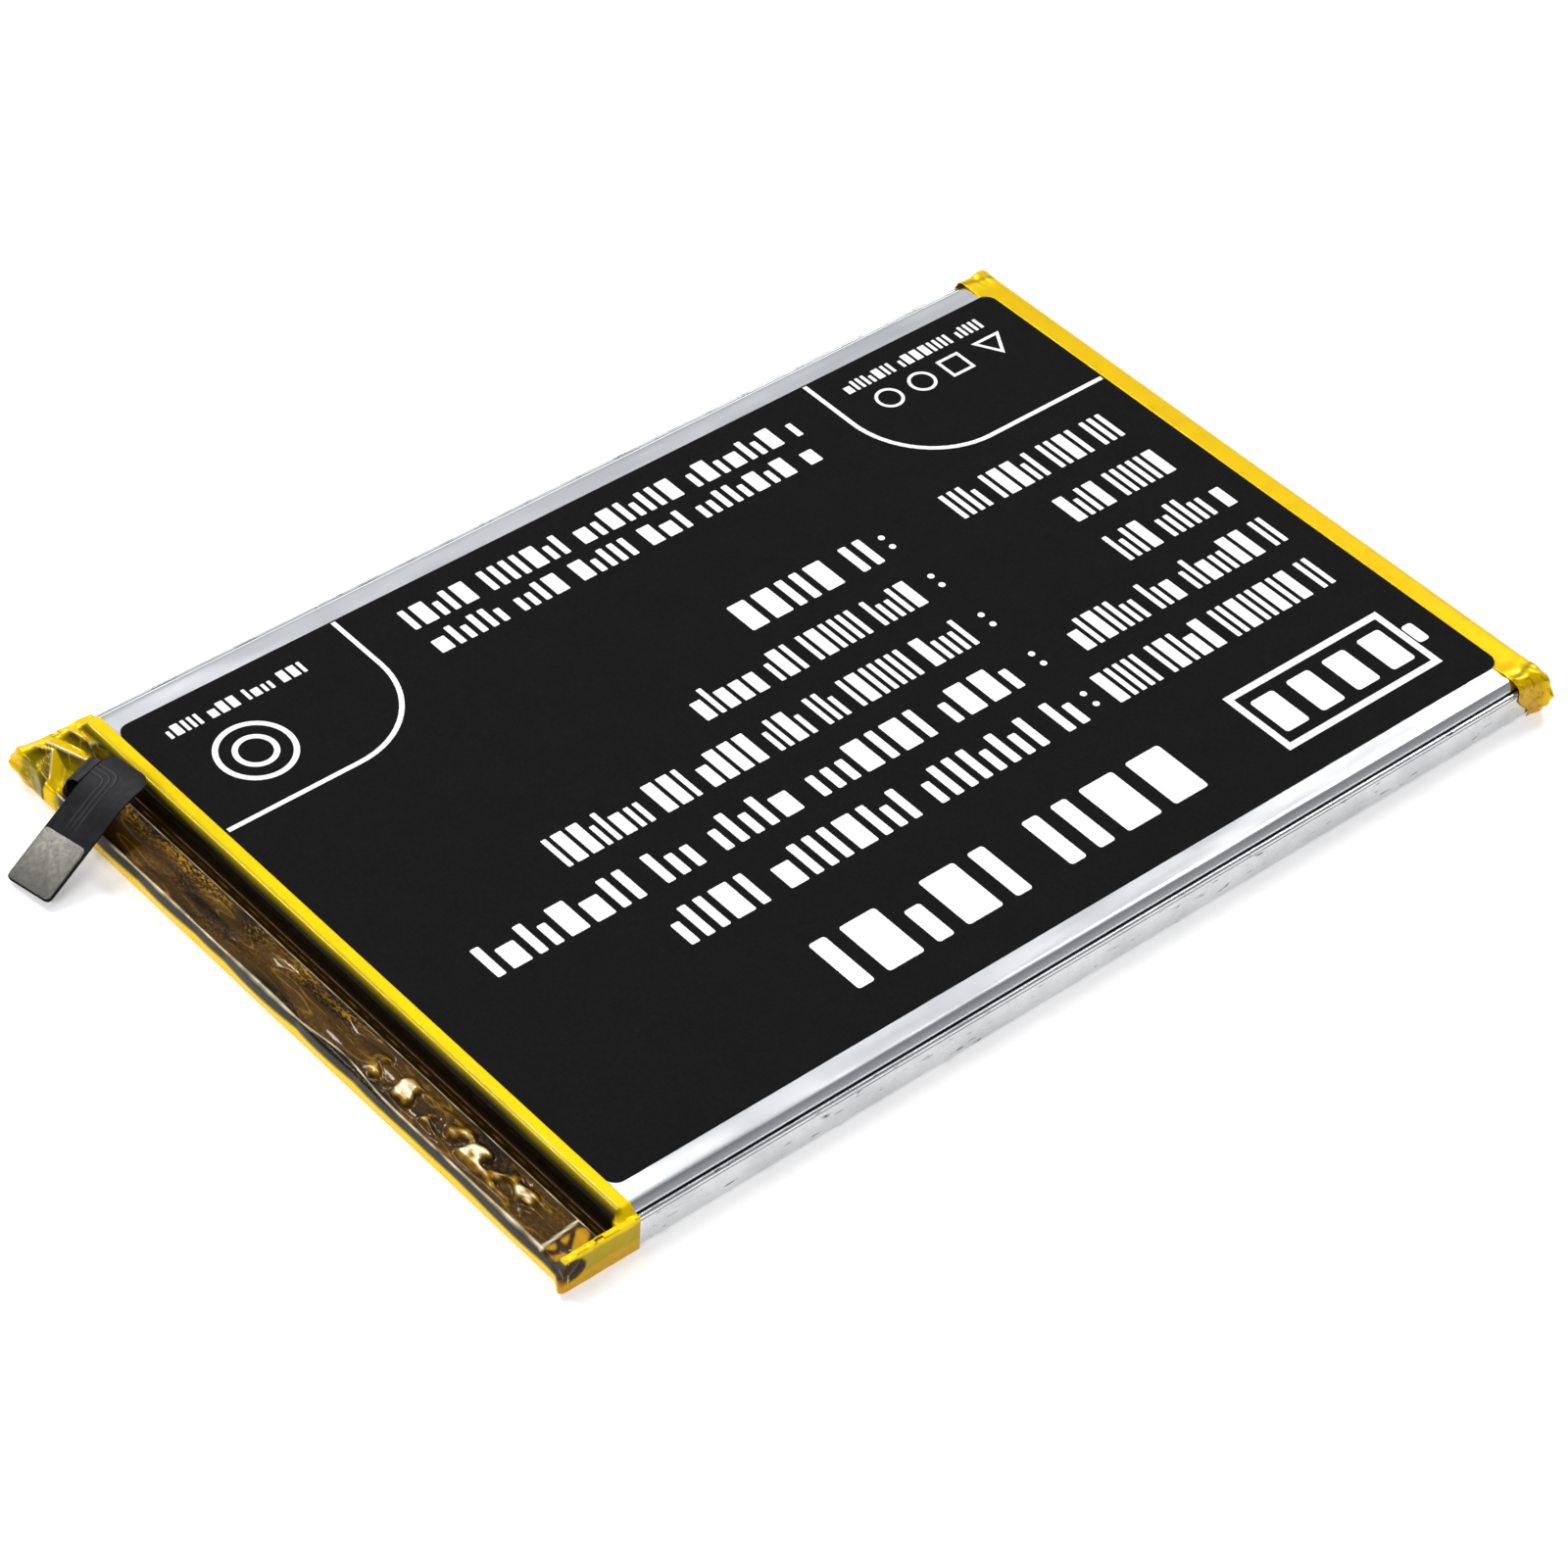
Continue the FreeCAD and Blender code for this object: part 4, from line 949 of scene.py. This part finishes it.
def make_print():
    """Generic print: bars for the lines of text, two corner boxes with plain signs and a battery sign."""
    rng = random.Random(7)
    ink = Print()
    corner_box(ink, 0.0, 19.2)
    corner_box(ink, 84.24, 64.8)
    for u_low, u_high in ((2.0, 4.7), (5.4, 7.9)):
        ink.words(u_low, u_high, 23.5, 61.0, rng)
    for u_low, u_high, v_low, v_high, v_name, stroke in (
        (16.3, 19.9, 43.0, 56.0, 64.0, 0.75),
        (21.9, 25.4, 34.0, 56.0, 70.6, 0.45),
        (27.4, 31.1, 16.6, 56.0, 70.6, 0.45),
        (32.9, 36.6, 6.0, 56.0, 61.0, 0.75),
        (38.4, 42.3, 18.4, 56.0, 59.0, 0.75),
    ):
        ink.words(u_low, u_high, v_low, v_high, rng, stroke)
        ink.words(u_low, u_high, v_name, 82.0, rng, 0.45)
        for share in (0.25, 0.6):
            u = u_low + (u_high - u_low) * share
            ink.bar(u, u + 0.55, 57.2, 57.75)
    ink.words(46.6, 52.7, 24.6, 62.0, rng, stroke=1.5, longest=5)
    battery_sign(ink, 46.6, 53.0, 65.4, 82.2)
    small_signs(ink, rng)
    thing = new_object("label_ink", ink.points, ink.faces, INK)
    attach(thing, "root")


# ---------------------------------------------------------------- flex ribbon and steel plate

FLEX_THICKNESS = 0.12
FLEX_WIDTH = 4.93
FLEX_ORIGIN = Vector((-27.45, -46.88, 5.12))
FLEX_YAW = math.radians(7.8)
FLEX_RISE = math.radians(5)
DROOP = math.radians(27.3)
DROOP_RADIUS = 9.56
BEND_PLACE = 5.0
TAIL_LENGTH = 7.76
TRACK_HEIGHT = 0.05
PLATE_WIDE, PLATE_LONG, PLATE_THICK = 4.65, 4.9, 0.18
PLATE_OUT = TAIL_LENGTH - 0.14 - PLATE_LONG / 2
ARM_FRAME = (
    Matrix.Translation(FLEX_ORIGIN)
    @ Matrix.Rotation(FLEX_YAW, 4, "Z")
    @ Matrix.Rotation(-FLEX_RISE, 4, "Y")
)


def ribbon_point(x, along, lift):
    """A place on the flex: x across it, along its length from the fold, and lift off its middle."""
    turn = min(along / DROOP_RADIUS, DROOP)
    straight = along - turn * DROOP_RADIUS
    out = DROOP_RADIUS * math.sin(turn) + straight * math.cos(turn)
    drop = DROOP_RADIUS * (1 - math.cos(turn)) + straight * math.sin(turn)
    return ARM_FRAME @ Vector((x, -out - lift * math.sin(turn), -drop + lift * math.cos(turn)))


def ribbon_limits(along):
    """The ribbon's left and right edges at a place along it, with rounded corners."""
    shoulder, end = 1.5, 0.5
    left, right = 0.05, FLEX_WIDTH
    length = BEND_PLACE + TAIL_LENGTH
    if along < shoulder:
        right -= shoulder - math.sqrt(shoulder**2 - (shoulder - along) ** 2)
    if along > length - end:
        inset = end - math.sqrt(max(0.0, end**2 - (along - length + end) ** 2))
        left += inset
        right -= inset
    return left, right


def track_share(x, along):
    """How far a place stands on one of the faint tracks that leave the fold and turn down the ribbon."""
    centre_x, centre_along = 0.25, 3.7
    if along > centre_along:
        place = x - centre_x
    elif x < centre_x:
        place = centre_along - along
    else:
        place = ((x - centre_x) ** 5 + (centre_along - along) ** 5) ** 0.2
    height = 0.0
    for track in (1.5, 1.95, 2.4):
        height = max(height, 1 - clamp(abs(place - track) / 0.11))
    fade = ease(along, BEND_PLACE + TAIL_LENGTH - PLATE_LONG - 0.2, BEND_PLACE + 0.8)
    return height * fade


def make_ribbon():
    """The flex from its fold to its end, in one sheet."""
    rows = steps(0.0, BEND_PLACE + TAIL_LENGTH, 0.09)
    shares = steps(0.0, 1.0, 1 / 60)
    half = FLEX_THICKNESS / 2
    points = []
    raised = []
    for along in rows:
        left, right = ribbon_limits(along)
        for share in shares:
            x = left + (right - left) * share
            raised.append(track_share(x, along))
            points.append(ribbon_point(x, along, half + TRACK_HEIGHT * raised[-1]))
    thing = new_object("flex_ribbon", points, grid_faces(len(rows), len(shares)), LOOKS["flex_cover"])
    thing.data.flip_normals()
    marks = thing.data.attributes.new("track", "FLOAT", "POINT")
    marks.data.foreach_set("value", raised)
    shade(thing)
    thicken(thing, FLEX_THICKNESS)
    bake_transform(thing)
    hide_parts("flex_arm", "flex_tail")


def rounded_outline(width, length, radius, corner_steps=6):
    """A rectangle's outline with round corners, about its middle."""
    outline = []
    for quarter, (x, y) in enumerate(((1, 1), (-1, 1), (-1, -1), (1, -1))):
        centre = Vector((x * (width / 2 - radius), y * (length / 2 - radius)))
        for k in range(corner_steps + 1):
            angle = math.pi / 2 * (quarter + k / corner_steps)
            outline.append(centre + radius * Vector((math.cos(angle), math.sin(angle))))
    return outline


def make_plate():
    """The steel plate on the flex's end: rounded corners and an edge softened by stamping."""
    outline = rounded_outline(PLATE_WIDE, PLATE_LONG, 0.45)
    count = len(outline)
    points = []
    for lift, inset in ((0.0, 0.0), (0.11, 0.0), (0.155, 0.02), (PLATE_THICK, 0.07)):
        scale = Vector((1 - 2 * inset / PLATE_WIDE, 1 - 2 * inset / PLATE_LONG))
        for x, y in outline:
            along = BEND_PLACE + PLATE_OUT - y * scale.y
            points.append(ribbon_point(FLEX_WIDTH / 2 + x * scale.x, along, FLEX_THICKNESS / 2 + lift))
    faces = [tuple(reversed(range(count))), tuple(range(3 * count, 4 * count))]
    for ring in range(3):
        for i in range(count):
            j = (i + 1) % count
            faces.append((ring * count + i, ring * count + j, (ring + 1) * count + j, (ring + 1) * count + i))
    thing = new_object("steel_backing", points, faces, LOOKS["steel_plate"])
    shade(thing, angle=30)
    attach(thing, "flex_tail_body")
    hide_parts("stiffener_plate")


# ---------------------------------------------------------------- camera, floor and light

AIM = (LABEL_LOW + LABEL_HIGH) / 2 + Vector((6.16, -8.99, 0.05))
AZIMUTH = math.radians(46.87)
ELEVATION = math.radians(42.69)
ROLL = math.radians(3.59)
DISTANCE = 392.6
LENS = 115.5


def make_camera():
    """A level studio view of the pack's label from its right front corner, slightly rolled."""
    away = Vector((
        math.sin(AZIMUTH) * math.cos(ELEVATION),
        -math.cos(AZIMUTH) * math.cos(ELEVATION),
        math.sin(ELEVATION),
    ))
    right = Vector((math.cos(AZIMUTH), math.sin(AZIMUTH), 0.0))
    up = away.cross(right)
    turned_right = right * math.cos(ROLL) + up * math.sin(ROLL)
    turned_up = up * math.cos(ROLL) - right * math.sin(ROLL)
    data = bpy.data.cameras.new("camera")
    data.lens = LENS
    data.clip_start = 0.01
    camera = bpy.data.objects.new("camera", data)
    place = (AIM + away * DISTANCE) * MM
    turn = Matrix((turned_right, turned_up, away)).transposed().to_4x4()
    camera.matrix_world = Matrix.Translation(place) @ turn
    bpy.context.scene.collection.objects.link(camera)
    bpy.context.scene.camera = camera


def make_floor():
    """A plain white sweep under the pack, lit from within like a light table."""
    half = 3000
    bubble_highlight = {"Roughness": 0.9, "Specular IOR Level": 0.1, "Emission Color": (1, 1, 1, 1), "Emission Strength": 0.32}
    look = Look("studio_floor", bubble_highlight)
    look.set("Base Color", look.ramp(look.noise(60.0), (0.3, (0.93,) * 3), (0.7, (0.95,) * 3)))
    corners_of_floor = [(-half, -half, -0.02), (half, -half, -0.02), (half, half, -0.02), (-half, half, -0.02)]
    floor = new_object("floor", corners_of_floor, [(0, 1, 2, 3)], look.material)


def make_world():
    """Soft surroundings: a bright band seen in the pouch's near side, cooler and darker to both sides."""
    world = bpy.data.worlds.new("studio")
    world.use_nodes = True
    nodes, links = world.node_tree.nodes, world.node_tree.links
    background = next(node for node in nodes if node.type == "BACKGROUND")
    split = nodes.new("ShaderNodeSeparateXYZ")
    links.new(nodes.new("ShaderNodeTexCoord").outputs["Generated"], split.inputs[0])
    ramp = nodes.new("ShaderNodeValToRGB")
    spread = nodes.new("ShaderNodeMapRange")
    spread.inputs["From Min"].default_value = -1.0
    links.new(split.outputs["X"], spread.inputs["Value"])
    links.new(spread.outputs["Result"], ramp.inputs["Fac"])
    elements = ramp.color_ramp.elements
    stops = (
        (0.14, (0.50, 0.52, 0.54)),
        (0.20, (0.48, 0.495, 0.515)),
        (0.27, (0.72, 0.72, 0.735)),
        (0.32, (0.52, 0.52, 0.535)),
        (0.52, (0.16, 0.16, 0.17)),
        (1.00, (0.42, 0.42, 0.43)),
    )
    for i, (position, colour) in enumerate(stops):
        element = elements[i] if i < 2 else elements.new(position)
        element.position = position
        element.color = (*colour, 1.0)
    links.new(ramp.outputs["Color"], background.inputs["Color"])
    bpy.context.scene.world = world


def make_softbox(name, place, size, watts):
    """A rectangular light aimed at the pack."""
    data = bpy.data.lights.new(name, "AREA")
    data.shape = "RECTANGLE"
    data.size, data.size_y = (side * MM for side in size)
    data.energy = watts
    light = bpy.data.objects.new(name, data)
    place = Vector(place)
    light.matrix_world = Matrix.Translation(place * MM) @ place.to_track_quat("Z", "Y").to_matrix().to_4x4()
    bpy.context.scene.collection.objects.link(light)


def make_lights():
    make_softbox("key_light", (-300, 1000, 1000), (420, 200), 7)
    make_softbox("left_light", (-1000, 100, 700), (120, 380), 4)
    make_softbox("front_light", (300, -900, 800), (500, 300), 5)
    make_softbox("spark_light", (-620, 350, 980), (100, 60), 1.1)
    make_softbox("ridge_light", (-720, -180, 1050), (60, 420), 3.6)


def set_colours():
    """Show colours as they are, without a film-like tone curve."""
    bpy.context.scene.view_settings.view_transform = "Standard"


dress_nodes()
make_terrace_film()
make_tail_film()
make_print()
make_ribbon()
make_plate()
make_camera()
make_floor()
make_world()
make_lights()
set_colours()
